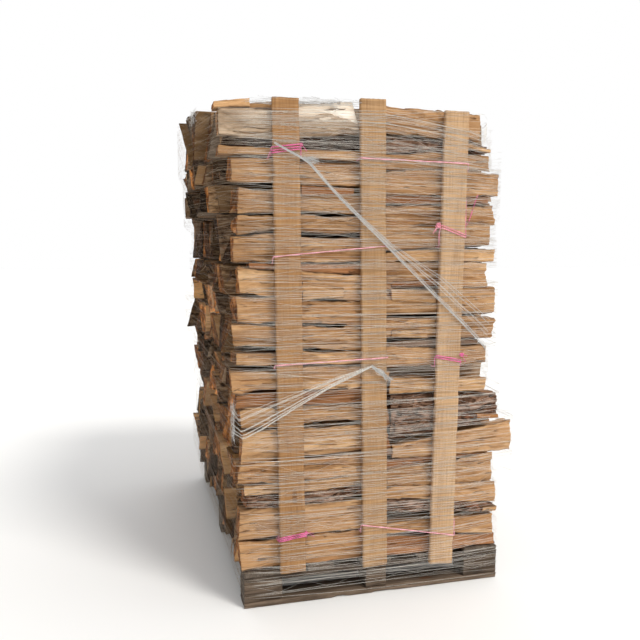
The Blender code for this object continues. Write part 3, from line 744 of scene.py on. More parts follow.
def column(side):
    word = "left" if side < 0 else "right"
    count = 12 if side < 0 else 13
    prof = [stations(f"firewood_{word}_{k:02d}") for k in range(1, count + 1)]
    rng = np.random.default_rng(41 if side < 0 else 97)
    # bed joints between the courses: the CAD's own line, with the uneven steps of real logs
    joints = []
    for k in range(count + 1):
        if k == 0:
            ys, zs, amp = prof[0][:, 0], prof[0][:, 1], 0.0
        elif k == count:
            ys, zs, amp = prof[-1][:, 0], prof[-1][:, 2], 0.0
        else:
            ys = prof[k - 1][:, 0]
            zs = (prof[k - 1][:, 2] + np.interp(ys, prof[k][:, 0], prof[k][:, 1])) / 2
            amp = 0.004 if any(abs(zs[0] - t) < 0.002 for t in TWINE_Z[side]) else 0.013
        kn = [-0.62]
        while kn[-1] < 0.70:
            kn.append(kn[-1] + rng.uniform(0.045, 0.11))
        kn = np.array(kn)
        zz = np.interp(kn, ys, zs) + amp * rng.uniform(-1, 1, len(kn))
        if k == count:
            zz = zz - rng.uniform(0.000, 0.030, len(kn))
            if side < 0:
                zz += 0.026 * (1 - smooth(-0.45, -0.10, kn))
        joints.append((kn, zz))

    def line(k, y):
        return np.interp(y, joints[k][0], joints[k][1])

    rows = F_LEFT if side < 0 else F_RIGHT
    for k in range(count):
        inner0 = -0.016 if side < 0 else (0.036 if k < 7 else 0.012)
        name = f"firewood_{word}_{k + 1:02d}"
        bag = Bag()
        pr = prof[k]
        outer_col = 3 if side < 0 else 4
        base_seed = (1000 if side < 0 else 5000) + 100 * k

        def outer_x(y):
            return float(np.interp(y, pr[:, 0], pr[:, outer_col]))

        # front row, as photographed; the rear row is its own
        mine = [r for r in rows if r[0] == k + 1]
        for i, (_, zo0, zo1, zi0, zi1, xo, rec, look) in enumerate(mine):
            yf = -0.75 + rec + 0.002
            dp = rng.uniform(0.088, 0.112)
            h = min(zo1 - zo0, zi1 - zi0)
            deep = 0.24 if look == "b" else 0.11
            c0, c1 = rng.uniform(0.02, deep, 2) * h
            s1, s2 = rng.uniform(0.20, 0.42), rng.uniform(0.60, 0.82)
            r1, r2 = rng.uniform(0.0, 0.05, 2) * h
            sl0, sl1 = rng.uniform(0.0, 0.25, 2) * min(1.0, 0.03 / max(h, 0.02))
            shape = [(c0, 0.0), (r1, s1), (r2, s2), (c1, 1.0)] if h > 0.034 else [(0.0, 0.0), (rng.uniform(0, 0.004), 1.0)]
            shape += [(dp, 1.0 - sl1), (dp * 0.97, sl0)]
            grow = 0.0034 if h > 0.05 else 0.0012
            po = [(yf + a, zo0 - grow + b * (zo1 - zo0 + 2 * grow)) for a, b in shape]
            pi_ = [(yf + a * rng.uniform(0.8, 1.2) + 0.001, zi0 - grow + b * (zi1 - zi0 + 2 * grow)) for a, b in shape]
            nf = len(shape) - 3
            kinds = [1 if look in "bk" and q < nf else 0 for q in range(len(shape))]
            age = {"w": 0.60, "b": 0.15}.get(look, rng.uniform(0.0, 0.06))
            xi = inner0 - rng.uniform(0.0, 0.030) if side < 0 else inner0 + rng.uniform(-0.002, 0.004)
            if side > 0 and k in (3, 4, 5):
                xi = {3: 0.060, 4: 0.053, 5: 0.047}[k]
            billet(bag, po, pi_, kinds, xo, xi, base_seed + i, nx=46, step=0.014, fine={q: 0.0041 for q in range(nf)}, tint=LOOKS[look], age=age,
                   bulge=0.10 if look in "bk" else 0.0, tilt=(rng.uniform(-0.16, 0.16), rng.uniform(-0.12, 0.12)),
                   torn=1.6 if h > 0.05 else 0.7, rough=1.5 if h > 0.034 else 0.6, wave=0.0038 if h > 0.05 else (0.0024 if h > 0.02 else 0.0006))
            if h > 0.03:
                chips(bag, side, xo, xi, (zo0, zo1), (zi0, zi1), yf, LOOKS[look], look in "bk", rng)
        # the rest of the course
        z_mid = (line(k, 0.0) + line(k + 1, 0.0)) / 2
        height = line(k + 1, 0.0) - line(k, 0.0)
        layers = [(lambda y, k=k: line(k, y), lambda y, k=k: line(k + 1, y))]
        if height > (0.132 if side > 0 else 0.186):
            mk = np.arange(-0.66, 0.80, 0.075)
            mz = rng.uniform(-0.13, 0.13, len(mk))

            def middle(y, k=k, mk=mk, mz=mz):
                share = 0.5 + np.interp(y, mk, mz)
                return line(k, y) * (1 - share) + line(k + 1, y) * share

            layers = [(lambda y, k=k: line(k, y), middle), (middle, lambda y, k=k: line(k + 1, y))]
        for li, (low, high) in enumerate(layers):
            y, slope, cuts = -0.648 + rng.uniform(-0.007, 0.007), 0.0, []
            sign = rng.choice([-1, 1])
            cuts.append((y, 0.0))
            while True:
                hh = float(high(y) - low(y))
                w = np.clip(hh * rng.uniform(0.72, 1.25), 0.058, 0.135) if side > 0 else np.clip(hh * rng.uniform(0.38, 0.78), 0.044, 0.092)
                if side < 0 and k >= 9 and y < 0.2:
                    w = np.clip(w * 0.66, 0.036, 0.060)
                y2 = y + w
                if y2 > 0.70:
                    break
                s2 = sign * rng.uniform(0.15, 0.85) * (1.0 if side > 0 else (0.3 if k >= 9 and y < 0.2 else 0.6))
                lim = 0.86 * 2 * w / max(hh, 0.03)
                if slope - s2 > lim:
                    s2 = slope - lim
                elif s2 - slope > lim:
                    s2 = slope + lim
                cuts.append((y2, s2))
                y, slope, sign = y2, s2, -sign
            if 0.748 - cuts[-1][0] < 0.05:
                cuts.pop()
            cuts.append((0.7485, 0.0))
            for ci in range(len(cuts) - 1):
                def corner(cut, edge):
                    yc, sl = cut
                    zc = (low(yc) + high(yc)) / 2
                    yy = yc
                    for _ in range(5):
                        yy = yc + sl * (float(edge(yy)) - zc)
                    return np.array([yy, float(edge(yy))])
                a, b = cuts[ci], cuts[ci + 1]
                poly = [corner(a, low), corner(b, low), corner(b, high), corner(a, high)]
                kn_low = [q for q in joints[k][0] if poly[0][0] + 0.012 < q < poly[1][0] - 0.012] if li == 0 else []
                kn_high = [q for q in joints[k + 1][0] if poly[3][0] + 0.012 < q < poly[2][0] - 0.012] if li == len(layers) - 1 else []
                pts = [poly[0]] + [np.array([q, float(low(q))]) for q in kn_low[:1]] + [poly[1], poly[2]]
                pts += [np.array([q, float(high(q))]) for q in kn_high[:1]] + [poly[3]]
                if np.linalg.norm(poly[0] - poly[1]) < 0.014:
                    pts = [p for p in pts if p is not poly[1]]
                if np.linalg.norm(poly[2] - poly[3]) < 0.014:
                    pts = [p for p in pts if p is not poly[3]]
                pts = np.array(pts)
                c = pts.mean(0)
                gap = rng.uniform(0.0026, 0.0075) if side > 0 else rng.uniform(0.0030, 0.0100)
                d = pts - c
                ln = np.linalg.norm(d, axis=1)[:, None]
                pts = c + d * (1 - gap / ln) + rng.uniform(-0.0015, 0.0015, pts.shape)
                n = len(pts)
                kinds = [0] * n
                pith = None
                lengths = [np.linalg.norm(pts[(q + 1) % n] - pts[q]) for q in range(n)]
                rear = ci == len(cuts) - 2
                top = k == count - 1 and li == len(layers) - 1
                if rng.random() < 0.58:
                    e = int(np.argmax(lengths)) if rng.random() < 0.5 else int(rng.integers(n))
                    if lengths[e] > 0.035:
                        kinds[e] = 1
                        mid = (pts[e] + pts[(e + 1) % n]) / 2
                        inward = c - mid
                        pith = mid + inward / (np.linalg.norm(inward) + 1e-9) * rng.uniform(0.07, 0.12)
                if side < 0 and rng.random() < 0.65:
                    # bark or weathered wood on the side that faces the front
                    e = int(np.argmin([(pts[q][0] + pts[(q + 1) % n][0]) / 2 for q in range(n)]))
                    kinds[e] = 1
                ymid = float(c[0])
                # how far this end stays back from the tips; further back along the left side the ends stick out more
                back = 0.007
                if side < 0:
                    back = 0.004 if k >= 10 and ymid < 0.25 else -0.014 * float(smooth(-0.1, 0.4, ymid))
                xo = outer_x(ymid) - side * float(np.clip(rng.normal(back + 0.004, 0.021), -0.026 if side < 0 and k < 10 else -0.004, 0.055))
                if rng.random() < 0.10:
                    xo -= side * rng.uniform(0.015, 0.040)
                xi = inner0 - rng.uniform(0.0, 0.045) if side < 0 else inner0 + rng.uniform(0.0, 0.02)
                age = rng.choice([0.0, 0.0, 0.1, 0.3, 0.5], p=[0.40, 0.25, 0.20, 0.10, 0.05])
                warm = rng.uniform(-0.02, 0.20)
                v = rng.choice([0.45, 0.75, 1.0, 1.45] if side > 0 else [0.22, 0.55, 1.05, 1.85], p=[0.22, 0.30, 0.30, 0.18]) * rng.uniform(0.88, 1.12)
                if side < 0:
                    warm, v = warm + 0.20, v * (1.16 if k < 9 else 0.92)
                tint = (v * (1 + warm * 0.4), v * (1 - warm * 0.3), v * (1 - warm))
                if side < 0:
                    tint = (v * (1 + warm * 0.26), v * (1 - warm * 0.12), v * (1 - warm * 0.9))
                fine = {}
                nx, step, rg = 3, 0.013, (0.92, 0.55)
                if rear:
                    nx, step = 24, 0.013
                    fine = {q: 0.0058 for q in range(n) if abs((pts[q][0] + pts[(q + 1) % n][0]) / 2 - pts[:, 0].max()) < 0.012}
                if top:
                    nx, step = 24, 0.012
                    fine = {q: 0.0062 for q in range(n) if pts[q][1] > c[1] and pts[(q + 1) % n][1] > c[1]}
                billet(bag, pts, pts, kinds, xo, xi, base_seed + 20 + 40 * li + ci, nx=nx, step=step, fine=fine, tint=tint, age=float(age),
                       pith=pith, rings=rg, bulge=0.11, torn=1.2 if (rear or top) else 1.0, tilt=tuple(rng.uniform(-0.28, 0.28, 2)))
        extras(bag, side, k + 1, base_seed)
        patches(bag, side, k + 1, base_seed)
        o = bag.build(name.replace("firewood", "billets"), WOOD)
        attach(o, "root")
        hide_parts(name)


def splinter(bag, root, tip, width, seed, mat=0, tint=(1.1, 1.12, 1.1, 0.0), bend=0.15):
    """A torn sliver of wood or bark: a thin tapering blade."""
    rng = np.random.default_rng(seed)
    root, tip = np.array(root, float), np.array(tip, float)
    t = np.linspace(0, 1, 7)[:, None]
    d = tip - root
    side_dir = np.cross(d, rng.normal(size=3))
    side_dir /= np.linalg.norm(side_dir) + 1e-9
    p = root + d * t + side_dir * np.linalg.norm(d) * bend * (t * (1 - t)) * rng.choice([-1, 1])
    tube(bag, p, width * (1 - 0.85 * t[:, 0]), sides=4, mat=mat, tint=tint, flat=0.35, phase=rng.uniform(0, 6), twist=3.0)


def chips(bag, side, xo, xi, outer, inner, yf, tint, bark, rng):
    """Lifted fibres and slivers that lie along the front face of a log."""
    for _ in range(7):
        a = rng.uniform(0.04, 0.90)
        b = min(0.98, a + rng.uniform(0.05, 0.26))
        s = rng.uniform(0.14, 0.88)
        pts = []
        for t, ds in ((a, 0.0), (b, rng.uniform(-0.05, 0.05))):
            z0 = outer[0] + (inner[0] - outer[0]) * t
            z1 = outer[1] + (inner[1] - outer[1]) * t
            pts.append((xo + (xi - xo) * t, yf + rng.uniform(-0.0005, 0.0030), z0 + (z1 - z0) * (s + ds)))
        v = rng.uniform(0.65, 1.45)
        splinter(bag, pts[0], pts[1], rng.uniform(0.0014, 0.0042), int(rng.integers(1 << 30)), mat=2 if bark or rng.random() < 0.10 else 0,
                 tint=(tint[0] * v, tint[1] * v, tint[2] * v, rng.uniform(0, 0.2)), bend=rng.uniform(0.01, 0.05))


# Smaller pieces split off in front of the rows: side, course, x from, x to, z from, z to at each of them, look, thickness.
PATCHES = [
    (-1, 9, -.285, -.135, 1.108, 1.172, 1.112, 1.150, "l", .014), (-1, 7, -.290, -.070, .944, 1.004, .948, .986, "l", .016),
    (-1, 4, -.290, -.080, .560, .592, .566, .580, "l", .012), (-1, 3, -.285, -.085, .478, .520, .470, .498, "n", .012),
    (-1, 12, -.300, -.092, 1.697, 1.787, 1.700, 1.794, "t", .020),(-1, 11, -.290, -.100, 1.470, 1.508, 1.478, 1.502, "r", .008),
    (1, 9, .046, .215, 1.096, 1.146, 1.091, 1.136, "l", .018), (1, 8, .050, .185, .965, 1.000, .960, .996, "l", .012),
    (1, 5, .400, .490, .640, .664, .640, .656, "o", .014), (1, 2, .435, .492, .272, .292, .270, .290, "l", .020),
    (1, 5, .052, .140, .690, .745, .690, .735, "b", .016), (1, 5, .070, .215, .606, .660, .626, .668, "b", .014),
    (1, 13, .334, .428, 1.654, 1.678, 1.644, 1.652, "l", .014), (1, 10, .050, .230, 1.150, 1.176, 1.156, 1.186, "r", .008),
    (1, 4, .004, .050, .520, .618, .524, .610, "r", .030), (1, 5, .004, .046, .628, .740, .630, .742, "r", .030),
    (1, 6, .004, .042, .752, .842, .756, .846, "n", .030),
]


def patches(bag, side, course, seed):
    for i, (sd, co, x0, x1, a0, a1, b0, b1, look, th) in enumerate(PATCHES):
        if sd != side or co != course:
            continue
        rng = np.random.default_rng(9000 + i)
        front = -0.752 if x0 > 0.045 or side < 0 else -0.738
        under = any(x0 < sx + 0.05 and x1 > sx - 0.05 for sx in (slat_x("left", a0), slat_x("right", a0)))
        if under:
            front = -0.7485
        h = min(a1 - a0, b1 - b0)
        yb = front + th + 0.012
        c0, c1 = rng.uniform(0.05, 0.22, 2) * min(h, 0.04)
        m = 0.5 + rng.uniform(-0.15, 0.15)
        po = [(front + c0, a0), (front, a0 + m * (a1 - a0)), (front + c1, a1), (yb, a1 - 0.1 * h), (yb, a0 + 0.1 * h)]
        pi_ = [(front + c0, b0), (front + 0.001, b0 + m * (b1 - b0)), (front + c1, b1), (yb, b1 - 0.1 * h), (yb, b0 + 0.1 * h)]
        k = 1 if look == "b" else 0
        billet(bag, po, pi_, [k, k, 0, 0, 0], x0, x1, seed + 300 + i, nx=max(8, int((x1 - x0) / 0.007)), step=0.008, fine={0: 0.0034, 1: 0.0034},
               tint=LOOKS[look], age=0.75 if look == "w" else 0.0, bulge=0.08 if k else 0.0, tilt=(rng.uniform(-0.4, 0.4), rng.uniform(-0.35, 0.35)),
               rough=1.1, wave=0.0022 if h > 0.02 else 0.001)
        if sd < 0:
            BILLETS.pop()


def extras(bag, side, course, seed):
    """Slivers and bark strips seen on the load."""
    rng = np.random.default_rng(seed + 77)
    if side < 0 and course == 12:
        # thin slabs of wood lying on the top left log
        for j, (xa, xb, ya, za, zb, ta, tb) in enumerate(((-0.588, -0.466, -0.742, 1.752, 1.762, 0.022, 0.030), (-0.470, -0.374, -0.728, 1.760, 1.768, 0.018, 0.022))):
            po = [(ya, za), (ya - 0.002, za + ta), (ya + 0.085, za + ta + 0.004), (ya + 0.088, za)]
            pi_ = [(ya + 0.003, zb), (ya, zb + tb), (ya + 0.080, zb + tb + 0.004), (ya + 0.084, zb)]
            billet(bag, po, pi_, [0, 0, 0, 0], xa, xb, seed + 90 + j, nx=22, step=0.006,
                   tint=(1.74, 1.60, 1.38) if j == 0 else (1.60, 1.48, 1.28), bulge=0.02, rough=0.8, wave=0.002)
    if side < 0 and course in (9, 10):
        # matted bark strips that hang from the ends on the left side
        for i in range(26 if course == 9 else 12):
            u, v = rng.uniform(200, 236), rng.uniform(260, 284)
            a = on_left(u, v, -0.527 - rng.uniform(0, 0.012))
            if not -0.75 < a[1] < 0.5:
                continue
            b = a + np.array([rng.uniform(-0.014, 0.004), rng.uniform(-0.22, 0.22), rng.uniform(-0.06, 0.035)])
            b[1] = max(b[1], -0.742)
            splinter(bag, a, b, rng.uniform(0.0025, 0.006), seed + i, mat=2, tint=(0.75, 0.62, 0.55, 0), bend=0.3)
        if course == 9:
            splinter(bag, on_left(206, 262, -0.532), on_left(190, 286, -0.590), 0.0035, seed + 50, mat=2, tint=(1.0, 0.85, 0.8, 0), bend=0.1)
            splinter(bag, on_left(207, 264, -0.534), on_left(199, 274, -0.556), 0.0026, seed + 51, mat=0, tint=(1.6, 1.6, 1.6, 0.4), bend=0.05)
    if side < 0 and course == 1:
        splinter(bag, on_left(233, 538, -0.515), on_left(231, 557, -0.530), 0.0035, seed + 52, mat=0, tint=(1.7, 1.75, 1.8, 0.2), bend=0.1)
    for i in range(5):
        y = rng.uniform(-0.73, 0.70)
        node_lo, node_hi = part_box(f"firewood_{'left' if side < 0 else 'right'}_{course:02d}")
        z = rng.uniform(node_lo[2] + 0.01, node_hi[2] - 0.01)
        x = (node_lo[0] + 0.012) if side < 0 else (node_hi[0] - 0.012)
        nominal = side * 0.5 - 0.023 * (z - 0.13)
        x = nominal + side * 0.002
        tip = (x + side * rng.uniform(0.004, 0.014), y + rng.uniform(-0.025, 0.025), z + rng.uniform(-0.055, 0.02))
        splinter(bag, (x - side * 0.01, y, z), tip, rng.uniform(0.0015, 0.0035), seed + 60 + i, mat=int(rng.integers(2)) * 2,
                 tint=(1.2, 1.15, 1.05, 0.1), bend=0.25)


column(-1)
column(1)


# ------------------------------------------------------------------ boards
def board(bag, origin, along, across, up, length, width, thick, seed, tint=(1, 1, 1), age=0.0, seg=0.02, wear=1.0, slant=(0.0, 0.0), mat=0):
    """A sawn board with worn arrises and uneven ends. origin is its middle."""
    rng = np.random.default_rng(seed)
    along, across, up, origin = (np.array(q, float) for q in (along, across, up, origin))
    n = max(4, int(length / seg))
    t = np.concatenate([[0.0, 0.0015 / length], np.linspace(0, 1, n + 1)[1:-1], [1 - 0.0015 / length, 1.0]])
    hw, ht, r = width / 2, thick / 2, min(0.0022, thick * 0.12)
    nw = max(6, int(width / 0.008))
    w = np.linspace(-hw + r, hw - r, nw)
    nt_ = max(3, int(thick / 0.007))
    h = np.linspace(-ht + r, ht - r, nt_)
    prof = [(x, -ht) for x in w] + [(hw, y) for y in h] + [(x, ht) for x in w[::-1]] + [(-hw, y) for y in h[::-1]]
    prof = np.array(prof)
    m = len(prof)
    T = t[:, None]
    L = (T - 0.5) * length
    A, B = prof[None, :, 0] + 0 * T, prof[None, :, 1] + 0 * T
    so = seed % 997
    # roughness of the saw and chips along the arrises
    near = np.minimum(np.abs(np.abs(A) - hw), np.abs(np.abs(B) - ht))
    corner = np.exp(-((np.abs(A) - hw) ** 2 + (np.abs(B) - ht) ** 2) / (0.004 ** 2))
    rough = 0.00035 * fbm(L * 18, A * 90, B * 90, so, 2) * wear
    chip = 0.0032 * wear * corner * smooth(0.35, 0.75, vnoise(L * 22, np.sign(A) * 3, np.sign(B) * 3, so + 2))
    sa = np.where(np.abs(A) > hw - r * 0.5, 1.0, 0.0) * np.sign(A)
    sb = np.where(np.abs(B) > ht - r * 0.5, 1.0, 0.0) * np.sign(B)
    A2 = A + sa * rough * 1.4 - np.sign(A) * chip
    B2 = B + sb * rough - np.sign(B) * chip * 0.8
    # splits at the ends, and ends cut a little askew
    askew = slant[0] * A * (T < 0.5) + slant[1] * A * (T >= 0.5)
    endw = np.exp(-np.minimum(T, 1 - T) * length / 0.01)
    ragged = 0.0010 * wear * endw * vnoise(A * 120, B * 260, np.round(T) * 9, so + 4) * np.where(T < 0.5, 1, -1)
    L2 = L + askew * np.where((T < 0.02) | (T > 0.98), 1.0, 0.0) + ragged
    squeeze = 1 - 0.0010 / hw * ((T == 0) | (T == 1))
    pos = origin + L2[..., None] * along + (A2 * squeeze)[..., None] * across + (B2 * squeeze)[..., None] * up
    rows = len(t)
    quads = loft((rows, m))
    caps, capq, tris = [], [], []
    start = rows * m
    i = np.arange(m)
    j = (i + 1) % m
    for end, row in ((0, 0), (1, rows - 1)):
        ring = pos[row]
        mid = ring.mean(0)
        inner = mid + (ring - mid) * np.array([0.9])
        inner2 = mid + (ring - mid) * 0.5
        caps += [inner, inner2, mid[None]]
        prev = row * m
        for r_ in range(2):
            cur = start + r_ * m
            qd = np.stack([prev + i, prev + j, cur + j, cur + i], -1)
            capq.append(qd[:, ::-1] if end == 0 else qd)
            prev = cur
        centre = start + 2 * m
        tr = np.stack([prev + i, prev + j, np.full(m, centre)], -1)
        tris.append(tr[:, ::-1] if end == 0 else tr)
        start = centre + 1
    verts = np.concatenate([pos.reshape(-1, 3), *caps])
    rel = verts - origin
    g = np.stack([rel @ along, rel @ across, rel @ up], -1)
    off = rng.uniform(0, 30, 3)
    rim = np.zeros(len(verts))
    rim[rows * m:] = 1.0
    rim[:m] = 1.0
    rim[(rows - 1) * m: rows * m] = 1.0
    if np.dot(np.cross(across, up), along) > 0:
        fl = False
    else:
        fl = True
    qs, cq, ts = quads, np.concatenate(capq), np.concatenate(tris)
    c0 = verts[qs[0]]
    nrm = np.cross(c0[2] - c0[0], c0[3] - c0[1])
    if np.dot(nrm, c0.mean(0) - (origin + np.dot(c0.mean(0) - origin, along) * along)) < 0:
        qs, cq, ts = qs[:, ::-1], cq[:, ::-1], ts[:, ::-1]
    bag.add(verts, np.concatenate([qs, cq]), ts, mat, mat, (*tint, age), g + off, g, rim)


SLAT_TINT = {"left": (0.84, 0.66, 0.44), "middle": (1.02, 0.90, 0.72), "right": (1.30, 1.26, 1.20)}


for face, fy in (("front", -1), ("rear", 1)):
    for i, (which, (x0, x1, z0, z1)) in enumerate(SLATS.items()):
        lo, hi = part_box(f"slat_{face}_{which}")
        along = np.array([x1 - x0, 0, z1 - z0])
        ln = float(np.linalg.norm(along))
        along /= ln
        across = np.array([along[2], 0, -along[0]])
        bag = Bag()
        y = (lo[1] + hi[1]) / 2
        board(bag, ((x0 + x1) / 2, y, (z0 + z1) / 2), along, across, (0, 1, 0), ln - 0.001, SLAT_W - 0.001, SLAT_T - 0.001, 300 + 7 * i + (50 if fy > 0 else 0),
              tint=SLAT_TINT[which], seg=0.016, wear=0.8, slant=(-0.06 if which == "right" else 0.015, 0.01 * (i - 1)))
        o = bag.build(f"slat_board_{face}_{which}", [SLAT], sharp=50)
        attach(o, "root")
        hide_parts(f"slat_{face}_{which}")

for name in sorted(n for n in NODES if n.startswith("pallet_")):
    lo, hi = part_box(name)
    c, d = (lo + hi) / 2, hi - lo
    bag = Bag()
    seed = 600 + sum(ord(ch) * (i + 3) for i, ch in enumerate(name)) % 900
    rng = np.random.default_rng(seed)
    v = rng.uniform(0.8, 1.15)
    tint = (v, v * 0.99, v * 0.97)
    if "deck" in name:
        board(bag, c, (0, 1, 0), (1, 0, 0), (0, 0, 1), d[1] - 0.001, d[0] - 0.001, d[2] - 0.0006, seed, tint, seg=0.022, wear=1.4)
    elif "block" in name:
        v = rng.uniform(0.80, 1.02)
        board(bag, c, (1, 0, 0), (0, 1, 0), (0, 0, 1), d[0] - 0.001, d[1] - 0.001, d[2] - 0.0006, seed, (v, v * 0.90, v * 0.80), seg=0.008, wear=1.3)
    else:
        if "runner" in name:
            v = rng.uniform(0.92, 1.06)
            tint = (v, v * 0.90, v * 0.80)
        else:
            tint = (v * 0.7, v * 0.66, v * 0.62)
        board(bag, c, (1, 0, 0), (0, 1, 0), (0, 0, 1), d[0] - 0.001, d[1] - 0.001, d[2] - 0.0006, seed, tint, seg=0.012, wear=1.5)
    if "runner" in name:
        for bx in (-0.43, 0.0, 0.43):
            for dx, dy in ((-0.022, 0.02), (0.022, -0.022), (0.018, 0.026)):
                a = np.linspace(0, 2 * math.pi, 12, endpoint=False)
                x, y = bx + dx, float(c[1]) + dy
                top = np.stack([x + 0.004 * np.cos(a), y + 0.004 * np.sin(a), np.full(12, -0.0002)], -1)
                bot = np.stack([x + 0.0042 * np.cos(a), y + 0.0042 * np.sin(a), np.full(12, 0.0012)], -1)
                vv = np.concatenate([top, bot, [[x, y, -0.0004], [x, y, 0.0012]]])
                i = np.arange(12)
                j = (i + 1) % 12
                q = np.stack([i, i + 12, j + 12, j], -1)
                tr = np.concatenate([np.stack([i, j, np.full(12, 24)], -1)[:, ::-1], np.stack([i + 12, j + 12, np.full(12, 25)], -1)])
                bag.add(vv, q[:, ::-1], tr, 1, 1, (1, 1, 1, 0))
    o = bag.build(f"{name}_timber", [PALLET, STEEL], sharp=50)
    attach(o, "root")
    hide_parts(name)


# ------------------------------------------------------------------ twine
HALF_D, GAP, TWINE_R = 0.75, 0.0003, 0.0018
FACE_Y = HALF_D + 2 * GAP + SLAT_T + 0.0006 + TWINE_R
SIDE_Y = HALF_D + 0.011
EDGE = SLAT_W / 2 + 0.0050
TIES = {
    "twine_tie_top_left": (("left", 1.629, 1.5995), ("left", 1.642, 1.5995)),
    "twine_tie_top_right": (("middle", 1.604, 1.5995), ("right", 1.598, 1.5715)),
    "twine_tie_upper_left": (("left", 1.262, 1.2380), ("middle", 1.300, 1.2960)),
    "twine_tie_upper_right": (("right", 1.366, 1.2960), ("right", 1.334, 1.4715)),
    "twine_tie_middle_left": (("left", 0.885, 0.8720), ("middle", 0.898, 0.8980)),
    "twine_tie_middle_right": (("right", 0.898, 0.8550), ("right", 0.880, 0.8550)),
    "twine_tie_bottom_left": (("left", 0.254, 0.2475), ("left", 0.266, 0.2475)),
    "twine_tie_bottom_right": (("middle", 0.277, 0.2475), ("right", 0.203, 0.2630)),
}


def tie_points(left, right, dz=0.0, push=0.0):
    (ls, lz, lin), (rs, rz, rin) = left, right
    lz, rz = lz + dz, rz + dz
    xl, xr = slat_x(ls, lz) - EDGE, slat_x(rs, rz) + EDGE
    fy = FACE_Y + push
    half = [(xl, -SIDE_Y, lin), (xl, -SIDE_Y, lin + (lz - lin) * 0.75), (xl + 0.0015, -fy + 0.004, lz)]
    half += [(xl + 0.0070, -fy, lz), (xr - 0.0070, -fy, rz)]
    half += [(xr - 0.0015, -fy + 0.004, rz), (xr, -SIDE_Y, rin + (rz - rin) * 0.75), (xr, -SIDE_Y, rin)]
    half += [(xr, -HALF_D + 0.010, rin)]
    back = [(x, -y, z) for x, y, z in reversed(half)]
    first = (xl, -HALF_D + 0.010, lin)
    return half + back + [(first[0], HALF_D - 0.010, first[2]), first]


def refine(pts, fine=0.006, coarse=0.05, closed=True, wob=0.0006, seed=0):
    """Points every few millimetres where the twine shows, further apart inside the pile."""
    out = []
    pts = [np.array(p, float) for p in pts]
    pairs = list(zip(pts, pts[1:] + pts[:1])) if closed else list(zip(pts, pts[1:]))
    for a, b in pairs:
        ln = np.linalg.norm(b - a)
        if ln < 1e-5:
            continue
        shown = max(abs(a[1]), abs(b[1])) > 0.745 and min(abs(a[1]), abs(b[1])) > 0.73
        k = max(1, int(ln / (fine if shown else coarse)))
        out += [a + (b - a) * t for t in np.arange(k) / k]
    if not closed:
        out.append(pts[-1])
    out = np.array(out)
    s = np.r_[0, np.cumsum(np.linalg.norm(np.diff(out, axis=0), axis=1))]
    out[:, 2] += wob * vnoise(s * 40, 0, 0, seed)
    out[:, 1] += 0.3 * wob * vnoise(s * 55, 3, 0, seed)
    return out


def knot(bag, at, size, seed, tint, tails=2, towards=-1):
    """A small pulled-tight knot with its loose ends."""
    rng = np.random.default_rng(seed)
    a = np.linspace(0, 2 * math.pi, 60, endpoint=False)
    for q in range(2):
        x = (np.sin(a) + 2 * np.sin(2 * a)) * size * 0.36
        z = (np.cos(a) - 2 * np.cos(2 * a)) * size * 0.27
        y = -np.sin(3 * a) * size * 0.22
        rot = rng.uniform(0, 3)
        p = np.stack([at[0] + x * math.cos(rot) - z * math.sin(rot), at[1] - 0.003 + y * 0.7, at[2] + x * math.sin(rot) * 0.8 + z * math.cos(rot)], -1)
        tube(bag, p, 0.0017, sides=6, closed=True, tint=tint)
    for q in range(tails):
        ln = rng.uniform(0.018, 0.034)
        t = np.linspace(0, 1, 14)[:, None]
        d = np.array([towards * rng.uniform(0.4, 1.0), 0.0, rng.uniform(-1.0, 0.5)])
        d /= np.linalg.norm(d)
        p = np.array(at) + [0, -0.003, 0] + d * ln * t + np.array([0, -0.004, -0.010]) * t * t
        tube(bag, p, 0.0017 * (1 - 0.3 * t[:, 0]), sides=6, tint=tint, flat=0.6, twist=60)


def small_loop(which, z_left, z_right, out=0.0):
    """One more turn of twine over a slat, its ends tucked in behind the slat's edges."""
    xl, xr = slat_x(which, z_left) - EDGE, slat_x(which, z_right) + EDGE
    fy = FACE_Y + out
    return [(xl + 0.004, -0.7520, z_left), (xl - 0.0005, -SIDE_Y, z_left), (xl + 0.0015, -fy + 0.004, z_left), (xl + 0.007, -fy, z_left),
            (xr - 0.007, -fy, z_right), (xr - 0.0015, -fy + 0.004, z_right), (xr + 0.0005, -SIDE_Y, z_right), (xr - 0.004, -0.7520, z_right)]


